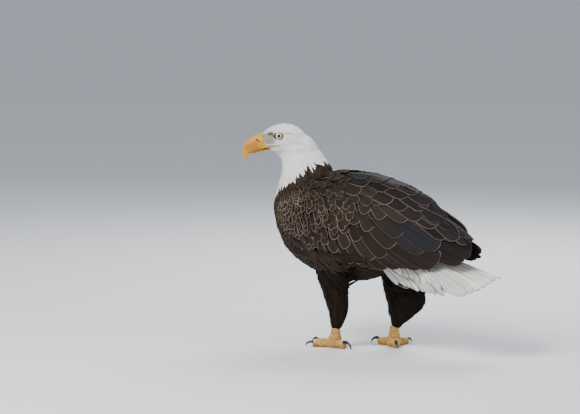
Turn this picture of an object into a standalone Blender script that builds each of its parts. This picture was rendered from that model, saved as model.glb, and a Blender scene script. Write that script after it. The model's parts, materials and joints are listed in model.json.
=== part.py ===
"""A standing bald eagle at life size, as the named solids of a museum model.

Frame: metres, +Z up, the bird faces -Y and its left side is +X. The floor is z = 0.
The body is one lofted form from rump to crown, parted by thin cuts into trunk, neck and head.
Wings, tail, legs, toes, talons, bill and eyes are forms of their own, trimmed where they meet it.
"""

import math

import bmesh
import bpy
from mathutils import Vector

GAP = 0.0004  # clearance between pieces that meet
FLAT_ANGLE = 2.2  # degrees under which neighbouring faces count as one
MM = 0.001  # the tables below are in millimetres
UP = Vector((0, 0, 1))

HEAD_YAW = 35  # degrees that the head looks to the bird's left
HEAD = (34, -212, 490)  # between the eyes
NECK_CUT = ((0, -145, 393), 24)  # a point of the white collar's plane, and its slope in degrees
JAW_CUT = ((0, -172, 456), 8)  # the same for the plane between head and neck

# Body form, rump to crown: x, y, z of the ring's centre, pitch and yaw of its axis in degrees,
# then half width, reach to the back and reach to the belly.
BODY_RINGS = (
    (0, 212, 254, 28, 0, 20, 10, 10),
    (0, 190, 262, 26, 0, 38, 28, 28),
    (0, 152, 272, 22, 0, 52, 60, 62),
    (0, 100, 284, 14, 0, 66, 98, 108),
    (0, 42, 290, 6, 0, 76, 124, 137),
    (0, -28, 292, 2, 0, 82, 124, 141),
    (0, -96, 298, 10, 0, 84, 121, 136),
    (0, -146, 318, 32, 0, 80, 97, 130),
    (0, -160, 362, 60, 2, 66, 80, 96),
    (1, -157, 400, 80, 6, 51, 72, 61),
    (3, -164, 432, 84, 16, 43, 55, 50),
    (10, -178, 460, 72, 28, 37, 47, 49),
    (16, -188, 480, 56, 34, 31, 40, 36),
)

# Head form, nape to forehead: forward and up from the point between the eyes, then pitch,
# half width, reach up and reach down.
HEAD_RINGS = (
    (-63, -14, 16, 14, 12, 18),
    (-54, -11, 12, 26, 22, 36),
    (-37, -5, 4, 34, 30, 52),
    (-16, -2, 0, 35, 32, 55),
    (6, -2, -4, 32, 28.5, 49),
    (22, -5, -8, 26, 23, 37),
    (34, -11, -14, 19, 19, 26),
    (42, -14, -16, 14, 13, 18),
)

EYE_SIDE = 21  # half the distance between the eyeballs' centres
EYE_RADIUS = 12.5
EYE_OPENING = 8.6  # radius of the opening between the lids

# Upper bill, cere to hook, on the same axes as the head.
BILL_RINGS = (
    (30, -12, 0, 15.5, 12, 15),
    (40, -13, -4, 15.0, 16, 17),
    (50, -16, -10, 13.6, 17, 17),
    (62, -21, -24, 11.6, 17, 15.5),
    (73, -28, -48, 9.2, 14.5, 12),
    (79, -36, -74, 6.8, 9.5, 9),
    (80.5, -44, -90, 4.6, 6, 6),
    (79, -52, -108, 2.6, 3.2, 3),
    (75.5, -59.5, -122, 0.9, 1.1, 1),
)
CERE_CUT = 50  # where the soft cere ends and the horn begins, forward of the eyes

# Lower bill, gape to tip.
JAW_RINGS = (
    (16, -33, 0, 14.5, 5, 5),
    (30, -35, -4, 13.5, 5.5, 5),
    (44, -37, -8, 11, 5, 4.6),
    (56, -39.5, -10, 8, 4, 3.6),
    (65, -41, -6, 4.5, 2.4, 2.2),
)

# Folded left wing, shoulder to tip: y, then x and z of the section's middle, half height,
# half thickness, inward lean in degrees, and how far its edges curl towards the body.
WING_RINGS = (
    (-206, 42, 322, 10, 7, 4, 0),
    (-194, 52, 322, 42, 17, 5, 8),
    (-155, 64, 319, 74, 22, 6, 16),
    (-92, 77, 311, 92, 23, 7, 22),
    (-20, 82, 305, 101, 21, 10, 28),
    (50, 78, 305, 106, 18, 15, 28),
    (110, 68, 305, 107, 15, 20, 24),
    (160, 53, 300, 95, 11, 23, 16),
    (210, 38, 284, 72, 7.5, 25, 10),
    (258, 26, 264, 51, 5.2, 25, 6),
    (302, 15.5, 249, 30, 3.8, 22, 3),
    (333, 8, 241, 12, 2.6, 15, 0),
)

TAIL_ROOT = (0, 92, 266)
TAIL_LENGTH = 282  # of the middle feathers
TAIL_SLOPE = 12.5  # degrees below the horizon
TAIL_FAN = 19  # degrees from the middle feather to the outer one
TAIL_ROOT_HALF = 19
TAIL_ARCH = 54  # how far the outer feathers hang below the middle ones at the tip
TAIL_OUTER_SHARE = 0.19  # how much shorter the outer feathers are
TAIL_FEATHERS = 12
TAIL_SCALLOP = 5  # depth of the round ends
TAIL_THICKNESS = 5

# White coverts under the tail: y, z, half width, reach up, reach down.
UNDERTAIL_RINGS = (
    (88, 214, 26, 16, 16),
    (112, 206, 40, 26, 26),
    (144, 190, 42, 26, 26),
    (176, 172, 36, 18, 18),
    (200, 159, 24, 9, 8),
    (212, 154, 12, 4, 3),
)

# One leg's feathering, body to tarsus: z, forward and outward shift of the ring's centre,
# half width, reach forward and reach back.
THIGH_RINGS = (
    (212, 6, 10, 34, 40, 42),
    (188, 4, 9, 36, 42, 42),
    (160, 1, 7, 32, 37, 38),
    (134, -3, 5, 26, 30, 33),
    (108, -7, 3, 20, 24, 30),
    (84, -8, 1.5, 16.5, 20, 28),
    (64, -6, 1, 13.5, 16, 21),
    (49, -4, 0, 11.5, 13, 14),
    (43, -3, 0, 9.5, 10, 11),
)
# The loose feathers behind the right thigh, as extra reach back at the same rings.
TROUSER_FLAG = {"left": (0,) * 9, "right": (0, 16, 32, 44, 52, 30, 8, 0, 0)}

# Tarsus and the ball of the foot: z, back shift, half width, reach forward, reach back.
TARSUS_RINGS = (
    (-1.5, 0, 11, 12, 10),
    (6, 0, 14.5, 16, 12.5),
    (14, 0, 13.5, 15, 12),
    (24, 2, 10.5, 11.5, 10),
    (36, 3, 9.2, 9, 9.5),
    (52, 4, 8.4, 8, 8.5),
    (62, 5, 6, 6, 6),
)

FEET = {  # x, y of the ball of the foot, and its turn in degrees from straight ahead
    "left": (48, -42, -18),
    "right": (-48, 61, -50),
}
# Toe: turn outward from the foot's line, length, radius at its base, talon length, talon radius.
TOES = {
    "inner": (-42, 47, 8.6, 36, 4.9),
    "middle": (0, 66, 8.2, 32, 4.4),
    "outer": (44, 51, 7.6, 28, 4.0),
    "hind": (180, 35, 8.8, 40, 5.2),
}
TOE_START = 8  # the toe's first ring, from the middle of the ball of the foot
TOE_PAD_SHARE = (0.0, 0.3, 0.62, 0.9, 1.0)  # rings along a toe
TOE_PAD_SWELL = (1.0, 1.04, 0.92, 1.0, 0.55)  # and their share of its radius
TALON_RINGS = 5
TALON_RISE = 38  # degrees above level at the root
TALON_FALL = 74  # degrees below level at the point
TALON_TIP = 1.4  # how far the point stays off the floor
SOLE_DIP = 1.0  # how far a pad would reach under the floor before it is flattened

MATERIALS = {  # colour, roughness
    "white_feather": ((0.82, 0.84, 0.86), 0.75),
    "brown_feather": ((0.062, 0.045, 0.036), 0.7),
    "dark_feather": ((0.035, 0.028, 0.026), 0.7),
    "cere": ((0.78, 0.47, 0.10), 0.45),
    "bill": ((0.80, 0.44, 0.08), 0.32),
    "foot": ((0.72, 0.47, 0.16), 0.6),
    "talon": ((0.02, 0.02, 0.022), 0.25),
    "eye": ((0.75, 0.70, 0.45), 0.08),
}


def clear_scene():
    for obj in list(bpy.data.objects):
        bpy.data.objects.remove(obj, do_unlink=True)


def new_collection(name):
    collection = bpy.data.collections.new(name)
    bpy.context.scene.collection.children.link(collection)
    return collection


def make_materials():
    for name, (colour, roughness) in MATERIALS.items():
        material = bpy.data.materials.new(name)
        material.use_nodes = True
        shader = material.node_tree.nodes["Principled BSDF"]
        shader.inputs["Base Color"].default_value = (*colour, 1)
        shader.inputs["Roughness"].default_value = roughness
        shader.inputs["Metallic"].default_value = 0


def axes(yaw, pitch=0):
    """(along, left, dorsal) of something that looks yaw degrees left of -Y and pitch degrees up."""
    turn, rise = math.radians(yaw), math.radians(pitch)
    ahead = Vector((math.sin(turn), -math.cos(turn), 0))
    left = Vector((math.cos(turn), math.sin(turn), 0))
    along = ahead * math.cos(rise) + UP * math.sin(rise)
    return along, left, UP * math.cos(rise) - ahead * math.sin(rise)


def ring(centre, left, dorsal, width, above, below, points, smoothed=True):
    """A closed ring of cage points. The swell makes up for what Subdivision Surface rounds off."""
    swell = 6 / (4 + 2 * math.cos(math.tau / points)) if smoothed else 1
    made = []
    for step in range(points):
        turn = math.tau * step / points
        reach = above if math.sin(turn) > 0 else below
        sideways = left * (width * math.cos(turn))
        made.append(centre + (sideways + dorsal * (reach * math.sin(turn))) * swell)
    return made


def new_object(name, mesh, material):
    obj = bpy.data.objects.new(name, mesh)
    obj.data.materials.append(bpy.data.materials[material])
    eagle.objects.link(obj)
    return obj


def loft(name, rings, material, smoothed=True):
    """A closed cage through the rings, smoothed by Subdivision Surface and kept as a plain mesh."""
    cage = bmesh.new()
    loops = [[cage.verts.new(point * MM) for point in points] for points in rings]
    for first, second in zip(loops, loops[1:]):
        for step in range(len(first)):
            after = (step + 1) % len(first)
            cage.faces.new((first[step], first[after], second[after], second[step]))
    cage.faces.new(loops[0])
    cage.faces.new(loops[-1])
    bmesh.ops.recalc_face_normals(cage, faces=cage.faces)
    mesh = bpy.data.meshes.new(name)
    cage.to_mesh(mesh)
    cage.free()
    obj = new_object(name, mesh, material)
    if smoothed:
        smooth = obj.modifiers.new("smooth", "SUBSURF")
        smooth.levels = smooth.render_levels = 1
    return in_triangles(settled(obj))


def in_triangles(obj):
    """Fixes the diagonal of every curved quad, so that a piece and its cutter agree on it."""
    work = bmesh.new()
    work.from_mesh(obj.data)
    bmesh.ops.triangulate(work, faces=work.faces)
    work.to_mesh(obj.data)
    work.free()
    return obj


def settled(obj):
    """Applies the object's modifiers by taking the evaluated mesh."""
    bpy.context.view_layer.update()
    evaluated = obj.evaluated_get(bpy.context.evaluated_depsgraph_get())
    mesh = bpy.data.meshes.new_from_object(evaluated)
    obj.modifiers.clear()
    obj.data = mesh
    return obj


def grown(obj, by=GAP):
    """A helper copy of the object, larger all round."""
    copy = bpy.data.objects.new(obj.name + "_grown", obj.data.copy())
    cutters.objects.link(copy)
    copy.hide_render = True
    copy.display_type = "WIRE"
    normals = [vertex.normal.copy() for vertex in copy.data.vertices]
    for vertex, normal in zip(copy.data.vertices, normals):
        vertex.co += normal * by
    return copy


def lighten(obj):
    """Joins the triangles that lie almost in one plane, as booleans leave many of them."""
    work = bmesh.new()
    work.from_mesh(obj.data)
    bmesh.ops.dissolve_limit(
        work, angle_limit=math.radians(FLAT_ANGLE), verts=work.verts, edges=work.edges
    )
    bmesh.ops.triangulate(work, faces=work.faces)
    work.to_mesh(obj.data)
    work.free()
    return obj


def combine(obj, other, operation):
    modifier = obj.modifiers.new("fit", "BOOLEAN")
    modifier.object = other
    modifier.operation = operation
    return in_triangles(settled(obj))


def trim(obj, *others, by=GAP):
    """Cuts the object back from its neighbours, with the clearance between them."""
    for other in others:
        cutter = grown(other, by)
        combine(obj, cutter, "DIFFERENCE")
        bpy.data.objects.remove(cutter, do_unlink=True)
    return obj


def keep_side(obj, point, normal):
    """Keeps what lies on the side of a plane that the normal points to, and closes the cut."""
    work = bmesh.new()
    work.from_mesh(obj.data)
    everything = work.verts[:] + work.edges[:] + work.faces[:]
    bmesh.ops.bisect_plane(
        work, geom=everything, dist=1e-7, plane_co=point, plane_no=normal, clear_inner=True
    )
    rim = [edge for edge in work.edges if edge.is_boundary]
    if rim:
        bmesh.ops.holes_fill(work, edges=rim)
    bmesh.ops.triangulate(work, faces=[face for face in work.faces if len(face.verts) > 4])
    bmesh.ops.recalc_face_normals(work, faces=work.faces)
    work.to_mesh(obj.data)
    work.free()
    return obj


def copy_of(obj, name, material):
    return new_object(name, obj.data.copy(), material)


def paint(obj, material):
    obj.data.materials.clear()
    obj.data.materials.append(bpy.data.materials[material])
    return obj


def mirrored(obj, name):
    """The same piece on the bird's other side."""
    work = bmesh.new()
    work.from_mesh(obj.data)
    for vertex in work.verts:
        vertex.co.x = -vertex.co.x
    bmesh.ops.reverse_faces(work, faces=work.faces)
    mesh = bpy.data.meshes.new(name)
    work.to_mesh(mesh)
    work.free()
    return new_object(name, mesh, obj.data.materials[0].name)


def head_point(forward, up, side=0):
    """A place given from the point between the eyes, in the head's own directions."""
    ahead, left, _ = axes(HEAD_YAW)
    return Vector(HEAD) + ahead * forward + left * side + UP * up


def head_loft(name, table, material, points):
    rings = []
    for forward, up, pitch, width, above, below in table:
        _, left, dorsal = axes(HEAD_YAW, pitch)
        centre = head_point(forward, up)
        rings.append(ring(centre, left, dorsal, width, above, below, points))
    return loft(name, rings, material)


def make_body():
    """Trunk, neck and head as one form, parted by two thin cuts."""
    rings = []
    for x, y, z, pitch, yaw, width, back, belly in BODY_RINGS:
        _, left, dorsal = axes(yaw, pitch)
        rings.append(ring(Vector((x, y, z)), left, dorsal, width, back, belly, 12))
    body = loft("trunk", rings, "brown_feather")
    skull = head_loft("skull", HEAD_RINGS, "white_feather", 10)
    combine(body, skull, "UNION")
    bpy.data.objects.remove(skull, do_unlink=True)
    head = copy_of(body, "head", "white_feather")
    neck = copy_of(body, "neck", "white_feather")
    for lower, upper, (point, slope) in ((neck, head, JAW_CUT), (body, neck, NECK_CUT)):
        tilt = math.radians(slope)
        across = Vector((0, -math.sin(tilt), math.cos(tilt)))
        middle = Vector(point) * MM
        keep_side(upper, middle + across * GAP / 2, across)
        keep_side(lower, middle - across * GAP / 2, -across)
    for piece in (head, neck):
        paint(piece, "white_feather")
    return body, neck, head


def make_bill(head):
    """Cere, horn and lower bill, let into the face."""
    upper = head_loft("bill_upper", BILL_RINGS, "bill", 8)
    lower = head_loft("bill_lower", JAW_RINGS, "bill", 6)
    trim(lower, upper)
    trim(head, upper, lower)
    cere = copy_of(upper, "cere", "cere")
    ahead = axes(HEAD_YAW, -12)[0]
    middle = head_point(CERE_CUT, 0) * MM
    keep_side(upper, middle + ahead * GAP / 2, ahead)
    keep_side(cere, middle - ahead * GAP / 2, -ahead)
    return cere, upper, lower


def make_eyes(head):
    ahead, left, _ = axes(HEAD_YAW)
    for side, sign in (("left", 1), ("right", -1)):
        centre = head_point(0, 0, EYE_SIDE * sign) * MM
        out = left * sign
        ball = sphere("eye_" + side, centre, EYE_RADIUS * MM, "eye")
        opening = rod("opening", centre, centre + out * 0.04, EYE_OPENING * MM)
        combine(head, opening, "DIFFERENCE")
        bpy.data.objects.remove(opening, do_unlink=True)
        trim(head, ball)


def sphere(name, centre, radius, material):
    work = bmesh.new()
    bmesh.ops.create_uvsphere(work, u_segments=12, v_segments=7, radius=radius)
    bmesh.ops.translate(work, verts=work.verts, vec=centre)
    mesh = bpy.data.meshes.new(name)
    work.to_mesh(mesh)
    work.free()
    return new_object(name, mesh, material)


def rod(name, start, end, radius):
    """A round cutter between two points."""
    along = end - start
    work = bmesh.new()
    bmesh.ops.create_cone(
        work, cap_ends=True, segments=20, radius1=radius, radius2=radius, depth=along.length
    )
    turn = along.to_track_quat("Z", "Y").to_matrix()
    bmesh.ops.rotate(work, verts=work.verts, matrix=turn)
    bmesh.ops.translate(work, verts=work.verts, vec=(start + end) / 2)
    mesh = bpy.data.meshes.new(name)
    work.to_mesh(mesh)
    work.free()
    obj = bpy.data.objects.new(name, mesh)
    cutters.objects.link(obj)
    obj.hide_render = True
    obj.display_type = "WIRE"
    return obj


def make_tail():
    """Twelve feathers as one arched fan: an open sheet shaped by formula, then given thickness."""
    columns, rows = TAIL_FEATHERS * 2, 4
    work = bmesh.new()
    bmesh.ops.create_grid(work, x_segments=columns, y_segments=rows, size=1)
    slope = math.radians(TAIL_SLOPE)
    for vertex in work.verts:
        across, share = vertex.co.x, (vertex.co.y + 1) / 2
        turn = math.radians(TAIL_FAN) * across
        length = TAIL_LENGTH * (1 - TAIL_OUTER_SHARE * across**2)
        round_end = abs(math.sin(math.pi * TAIL_FEATHERS * (across + 1) / 2))
        reach = share * length - TAIL_SCALLOP * (1 - round_end) * share**6
        arch = TAIL_ARCH * across**2 * (0.25 + 0.75 * share)
        vertex.co = (
            TAIL_ROOT_HALF * across + reach * math.sin(turn),
            TAIL_ROOT[1] + reach * math.cos(slope) * math.cos(turn),
            TAIL_ROOT[2] - reach * math.sin(slope) - arch,
        )
        vertex.co *= MM
    bmesh.ops.recalc_face_normals(work, faces=work.faces)
    mesh = bpy.data.meshes.new("tail")
    work.to_mesh(mesh)
    work.free()
    tail = new_object("tail", mesh, "white_feather")
    wall = tail.modifiers.new("thickness", "SOLIDIFY")
    wall.thickness = TAIL_THICKNESS * MM
    wall.offset = 0
    return in_triangles(settled(tail))


def make_undertail(trunk, tail):
    rings = []
    for y, z, width, above, below in UNDERTAIL_RINGS:
        _, left, dorsal = axes(0, 22)
        rings.append(ring(Vector((0, y, z)), left, dorsal, width, above, below, 8))
    return trim(loft("undertail_coverts", rings, "white_feather"), trunk, tail)


def make_wings(trunk, neck, tail):
    """Each folded wing is a curved shell that lies on the trunk and meets its fellow over the rump."""
    rings = []
    points = 10
    swell = 6 / (4 + 2 * math.cos(math.tau / points))
    for y, x, z, height, thickness, lean, curl in WING_RINGS:
        tilt = math.radians(lean)
        made = []
        for step in range(points):
            turn = math.tau * step / points
            out = thickness * math.cos(turn) * swell - curl * math.sin(turn) ** 2
            rise = height * math.sin(turn) * swell
            made.append(
                Vector(
                    (
                        x + out * math.cos(tilt) - rise * math.sin(tilt),
                        y,
                        z + rise * math.cos(tilt) + out * math.sin(tilt),
                    )
                )
            )
        rings.append(made)
    left = loft("wing_left", rings, "brown_feather")
    keep_side(left, Vector((GAP, 0, 0)), Vector((1, 0, 0)))
    right = mirrored(left, "wing_right")
    return trim(left, trunk, neck, tail), trim(right, trunk, neck, tail)


def make_leg(side, neighbours):
    x, y, turn = FEET[side]
    outward = math.copysign(1, x)
    ball = Vector((x, y, 0))
    rings = []
    for (z, ahead, out, width, fore, aft), flag in zip(THIGH_RINGS, TROUSER_FLAG[side]):
        centre = Vector((x + out * outward, y - ahead, z))
        rings.append(ring(centre, Vector((1, 0, 0)), Vector((0, 1, 0)), width, aft + flag, fore, 9))
    thigh = trim(loft("thigh_" + side, rings, "dark_feather"), *neighbours, by=2 * GAP)

    along, left, _ = axes(turn)
    rings = []
    for z, back, width, fore, aft in TARSUS_RINGS:
        centre = ball - along * back + UP * z
        rings.append(ring(centre, left, -along, width, aft, fore, 10, False))
    foot = loft("foot_" + side, rings, "foot", False)
    roots = []
    for name, (spread, length, radius, *_) in TOES.items():
        yaw = turn + outward * spread
        toe = make_toe(ball, yaw, length, radius)
        combine(foot, toe, "UNION")
        bpy.data.objects.remove(toe, do_unlink=True)
        roots.append((name, ball + axes(yaw)[0] * length, yaw))
    keep_side(foot, Vector((0, 0, 0)), UP)
    trim(foot, thigh)
    for name, root, yaw in roots:
        make_talon(f"talon_{side}_{name}", root, yaw, *TOES[name][2:], foot)


def make_toe(ball, yaw, length, radius):
    """A round toe whose pads reach a little under the floor, to be cut flat there."""
    along, left, dorsal = axes(yaw)
    rings = []
    for share, swell in zip(TOE_PAD_SHARE, TOE_PAD_SWELL):
        size = radius * swell * (1 - 0.16 * share)
        centre = ball + along * (TOE_START + (length - TOE_START) * share) + UP * (radius * 0.92)
        reach_down = centre.z + SOLE_DIP if swell >= 1 else centre.z - 0.6
        rings.append(ring(centre, left, dorsal, size, size, reach_down, 10, False))
    return loft("toe", rings, "foot", False)


def make_talon(name, root, yaw, toe_radius, length, radius, foot):
    """A hooked horn: its axis turns evenly from well above level to nearly straight down."""
    step_length = length / TALON_RINGS
    axis = [
        axes(yaw, TALON_RISE - (TALON_RISE + TALON_FALL) * step / TALON_RINGS)
        for step in range(TALON_RINGS + 1)
    ]
    fall = -sum(along.z for along, _, _ in axis[:-1]) * step_length
    centre = root - axes(yaw)[0] * toe_radius * 0.55 + UP * (TALON_TIP + fall)
    rings = []
    for step, (along, left, dorsal) in enumerate(axis):
        size = radius * (1 - step / TALON_RINGS) ** 0.65 + 0.35
        rings.append(ring(centre, left, dorsal, size * 0.85, size, size, 8, False))
        centre = centre + along * step_length
    talon = loft(name, rings, "talon", False)
    trim(talon, foot)


def shade(obj):
    obj.data.shade_smooth()
    obj.data.set_sharp_from_angle(angle=math.radians(40))


def centre_on_floor():
    """Moves the whole bird so that its bounding box is centred over the origin."""
    corners = [vertex.co for obj in eagle.objects for vertex in obj.data.vertices]
    for axis in (0, 1):
        ends = [corner[axis] for corner in corners]
        middle = (min(ends) + max(ends)) / 2
        for corner in corners:
            corner[axis] -= middle


clear_scene()
eagle = new_collection("bald_eagle")
cutters = new_collection("cutters")
make_materials()
trunk, neck, head = (lighten(piece) for piece in make_body())
make_bill(head)
make_eyes(head)
tail = trim(lighten(make_tail()), trunk)
undertail = make_undertail(trunk, tail)
wing_left, wing_right = make_wings(trunk, neck, tail)
for leg in FEET:
    make_leg(leg, (trunk, wing_left, wing_right, undertail))
centre_on_floor()
for piece in eagle.objects:
    lighten(piece)
    shade(piece)
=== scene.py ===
# %% [markdown]
# # A bald eagle, standing
#
# This notebook dresses the measured solids of a life-size bald eagle. The solids fix every size.
# Here they get what makes a bird: one skin, layers of feathers, horn, scaled feet and bright eyes.
# Each step says what the part is on a real bird, how it could be made and why it is made this way.

import json
import math

import bmesh
import bpy
import numpy as np
from mathutils import Matrix, Vector, kdtree, noise
from mathutils.bvhtree import BVHTree

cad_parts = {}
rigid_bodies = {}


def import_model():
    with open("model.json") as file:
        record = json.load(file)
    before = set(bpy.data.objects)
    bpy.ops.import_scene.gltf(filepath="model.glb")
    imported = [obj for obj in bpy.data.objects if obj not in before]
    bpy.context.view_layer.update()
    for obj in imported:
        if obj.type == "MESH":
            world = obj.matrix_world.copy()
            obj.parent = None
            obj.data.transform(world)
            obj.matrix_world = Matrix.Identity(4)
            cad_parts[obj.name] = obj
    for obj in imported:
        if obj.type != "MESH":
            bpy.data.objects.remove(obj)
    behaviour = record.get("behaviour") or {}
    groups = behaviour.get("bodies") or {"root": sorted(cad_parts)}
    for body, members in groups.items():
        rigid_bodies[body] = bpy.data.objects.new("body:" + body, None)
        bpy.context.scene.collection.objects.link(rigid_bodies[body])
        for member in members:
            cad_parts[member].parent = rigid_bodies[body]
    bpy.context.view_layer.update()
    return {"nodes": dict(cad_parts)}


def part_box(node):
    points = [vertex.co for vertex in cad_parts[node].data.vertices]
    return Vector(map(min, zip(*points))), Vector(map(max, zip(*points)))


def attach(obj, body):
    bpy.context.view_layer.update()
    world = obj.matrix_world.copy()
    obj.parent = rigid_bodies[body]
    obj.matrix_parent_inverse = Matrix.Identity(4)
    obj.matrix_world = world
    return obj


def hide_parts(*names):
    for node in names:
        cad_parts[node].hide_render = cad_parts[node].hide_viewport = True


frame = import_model()

# %% [markdown]
# ## The bird's own axes
#
# Feathers are placed by where they grow, so the notebook works in the bird's own millimetres, with
# the breast towards -Y and the left side towards +X. The head looks to its left, so it gets axes of
# its own, found from the two eyeballs. That way nothing here depends on how the solids were centred.

# %% Axes of the body and the head
MM = 0.001
UP = Vector((0, 0, 1))
eye_left, eye_right = (sum(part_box(name), Vector()) / 2 for name in ("eye_left", "eye_right"))
head_centre = (eye_left + eye_right) / 2
head_left = (eye_left - eye_right).normalized()
head_ahead = head_left.cross(UP)
EYES_AT = Vector((34, -212, 490))  # the point between the eyes in the bird's millimetres
body_origin = head_centre - EYES_AT * MM
ORIGIN = np.array(body_origin)
EYE_SIDE = (eye_left - eye_right).length / 2 / MM
SIDES = {1: "left", -1: "right"}


def on_body(x, y, z):
    """A place in the bird's millimetres, as a point of the model."""
    return body_origin + Vector((x, y, z)) * MM


def on_head(ahead, side, up):
    """A place in millimetres ahead, left and up of the point between the eyes."""
    return head_centre + (head_ahead * ahead + head_left * side + UP * up) * MM


def in_head_axes(places):
    """Rows of millimetres ahead, left and up of the point between the eyes."""
    return (places - np.array(head_centre)) @ np.array([head_ahead, head_left, UP]).T / MM


print("head centre", tuple(round(v, 3) for v in head_centre), "eye side", round(EYE_SIDE, 1))

# %% [markdown]
# ## Writing node trees as sums
#
# A node tree is easiest to read as arithmetic. The class below wraps one socket, and each operator
# adds the node that does it. The same classes write the shaders and the Geometry Nodes trees.


# %% A small language for nodes
class Value:
    """What leaves one socket. Arithmetic on it adds Math nodes."""

    def __init__(self, graph, socket):
        self.graph, self.socket = graph, socket

    def do(self, operation, *terms):
        settings = {"operation": operation}
        return self.graph.node("ShaderNodeMath", settings, dict(enumerate(terms)))[0]

    def step(self, start, end, low=0.0, high=1.0):
        """Runs smoothly from low to high while the value runs from start to end."""
        sockets = {"Value": self, 1: start, 2: end, 3: low, 4: high}
        return self.graph.node("ShaderNodeMapRange", {"interpolation_type": "SMOOTHSTEP"}, sockets)[0]


def operator(operation, turned=False):
    """A method that adds one Math node, with its two terms in turned order if wanted."""
    return lambda self, *other: self.do(operation, *((*other, self) if turned else (self, *other)))


for word, operation in (("add", "ADD"), ("sub", "SUBTRACT"), ("mul", "MULTIPLY")):
    setattr(Value, f"__{word}__", operator(operation))
    setattr(Value, f"__r{word}__", operator(operation, turned=True))
for word, operation in (
    ("__truediv__", "DIVIDE"), ("__pow__", "POWER"), ("__abs__", "ABSOLUTE"), ("over", "MAXIMUM"),
    ("under", "MINIMUM"),
):
    setattr(Value, word, operator(operation))


class Placed:
    """A node in a tree. Its outputs are read by name or number."""

    def __init__(self, graph, node):
        self.graph, self.made = graph, node

    def __getitem__(self, name):
        return Value(self.graph, self.made.outputs[name])


class Graph:
    """A node tree that is being written."""

    def __init__(self, tree):
        self.tree = tree

    def node(self, kind, settings=None, sockets=None):
        """Adds a node, sets its settings first and then its sockets."""
        made = self.tree.nodes.new(kind)
        for name, setting in (settings or {}).items():
            setattr(made, name, setting)
        for name, value in (sockets or {}).items():
            if isinstance(value, Value):
                self.tree.links.new(value.socket, made.inputs[name])
            else:
                made.inputs[name].default_value = value
        return Placed(self, made)

    def vector(self, operation, *terms, out=0):
        return self.node("ShaderNodeVectorMath", {"operation": operation}, dict(enumerate(terms)))[out]

    def parts(self, vector):
        split = self.node("ShaderNodeSeparateXYZ", None, {0: vector})
        return split[0], split[1], split[2]

    def join(self, x, y, z):
        return self.node("ShaderNodeCombineXYZ", None, {0: x, 1: y, 2: z})[0]

    def mix(self, share, first, second, blend="MIX"):
        settings = {"data_type": "RGBA", "blend_type": blend}
        return self.node("ShaderNodeMix", settings, {0: share, 6: first, 7: second})[2]


class Finish(Graph):
    """A material and its Principled shader."""

    def __init__(self, name, **constants):
        self.material = bpy.data.materials.new(name)
        self.material.use_nodes = True
        super().__init__(self.material.node_tree)
        self.shader = self.tree.nodes["Principled BSDF"]
        for socket, value in constants.items():
            self.shader.inputs[socket.replace("_", " ")].default_value = value

    def feed(self, socket, value):
        self.tree.links.new(value.socket, self.shader.inputs[socket])

    def attribute(self, name, out="Fac"):
        return self.node("ShaderNodeAttribute", {"attribute_name": name}, None)[out]

    def place(self):
        return self.node("ShaderNodeTexCoord")["Object"]

    def noise(self, where, scale, detail=3.0, roughness=0.5):
        sockets = {"Vector": where, "Scale": scale, "Detail": detail, "Roughness": roughness}
        return self.node("ShaderNodeTexNoise", None, sockets)["Fac"]

    def bump(self, height, distance, strength=1.0):
        sockets = {"Strength": strength, "Distance": distance, "Height": height}
        self.feed("Normal", self.node("ShaderNodeBump", None, sockets)["Normal"])


# %% [markdown]
# ## Handling meshes
#
# Most pieces start as arrays of numbers: rings that are lofted, or copies of solids that are joined.
# These helpers turn them into plain meshes at the origin, which ride on the bird's only body.


# %% Mesh helpers
def new_object(name, mesh, finish=None):
    made = bpy.data.objects.new(name, mesh)
    bpy.context.scene.collection.objects.link(made)
    if finish:
        made.data.materials.clear()
        made.data.materials.append(finish.material)
    return made


def settle(piece):
    """Replaces the piece's mesh by what its modifiers make of it."""
    bpy.context.view_layer.update()
    graph = bpy.context.evaluated_depsgraph_get()
    mesh = bpy.data.meshes.new_from_object(piece.evaluated_get(graph))
    piece.modifiers.clear()
    piece.data = mesh
    return piece


def modified(piece, kind, **settings):
    modifier = piece.modifiers.new(kind.lower(), kind)
    for name, value in settings.items():
        setattr(modifier, name, value)
    return piece


def finished(piece, slot, *nodes):
    """The piece rides on the bird and stands for these solids, which are hidden. The slot is not used."""
    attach(piece, "root")
    if nodes:
        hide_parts(*nodes)
    print(f"{piece.name}: {len(piece.data.polygons)} faces")
    return piece


def as_mesh(name, shape):
    """Ends work on a shape and keeps it as a mesh."""
    mesh = bpy.data.meshes.new(name)
    shape.to_mesh(mesh)
    shape.free()
    return mesh


def banded(rings):
    """A shape with bands of quads between rings of equal count, and the loops of its vertices."""
    shape = bmesh.new()
    loops = [[shape.verts.new(point) for point in ring] for ring in rings]
    for first, second in zip(loops, loops[1:]):
        for step in range(len(first)):
            after = (step + 1) % len(first)
            shape.faces.new((first[step], first[after], second[after], second[step]))
    return shape, loops


def loft(name, rings, finish):
    """A closed tube through rings of equal count."""
    shape, loops = banded(rings)
    shape.faces.new(loops[0])
    shape.faces.new(loops[-1])
    bmesh.ops.recalc_face_normals(shape, faces=shape.faces)
    piece = new_object(name, as_mesh(name, shape), finish)
    piece.data.shade_smooth()
    return piece


def numbers(items, field, size):
    """One field of all the items of a mesh, as rows of the given size."""
    found = np.empty(len(items) * size)
    items.foreach_get(field, found)
    return found.reshape(-1, size)


def coordinates(mesh):
    return numbers(mesh.vertices, "co", 3)


def smooth_normals(mesh):
    return numbers(mesh.vertex_normals, "vector", 3)


def move_vertices(mesh, places):
    mesh.vertices.foreach_set("co", np.asarray(places, np.float32).ravel())
    mesh.update()


def surface_of(mesh):
    return BVHTree.FromPolygons([v.co for v in mesh.vertices], [p.vertices for p in mesh.polygons])


def smooth_step(values, start, end):
    share = np.clip((values - start) / (end - start), 0, 1)
    return share * share * (3 - 2 * share)


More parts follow.
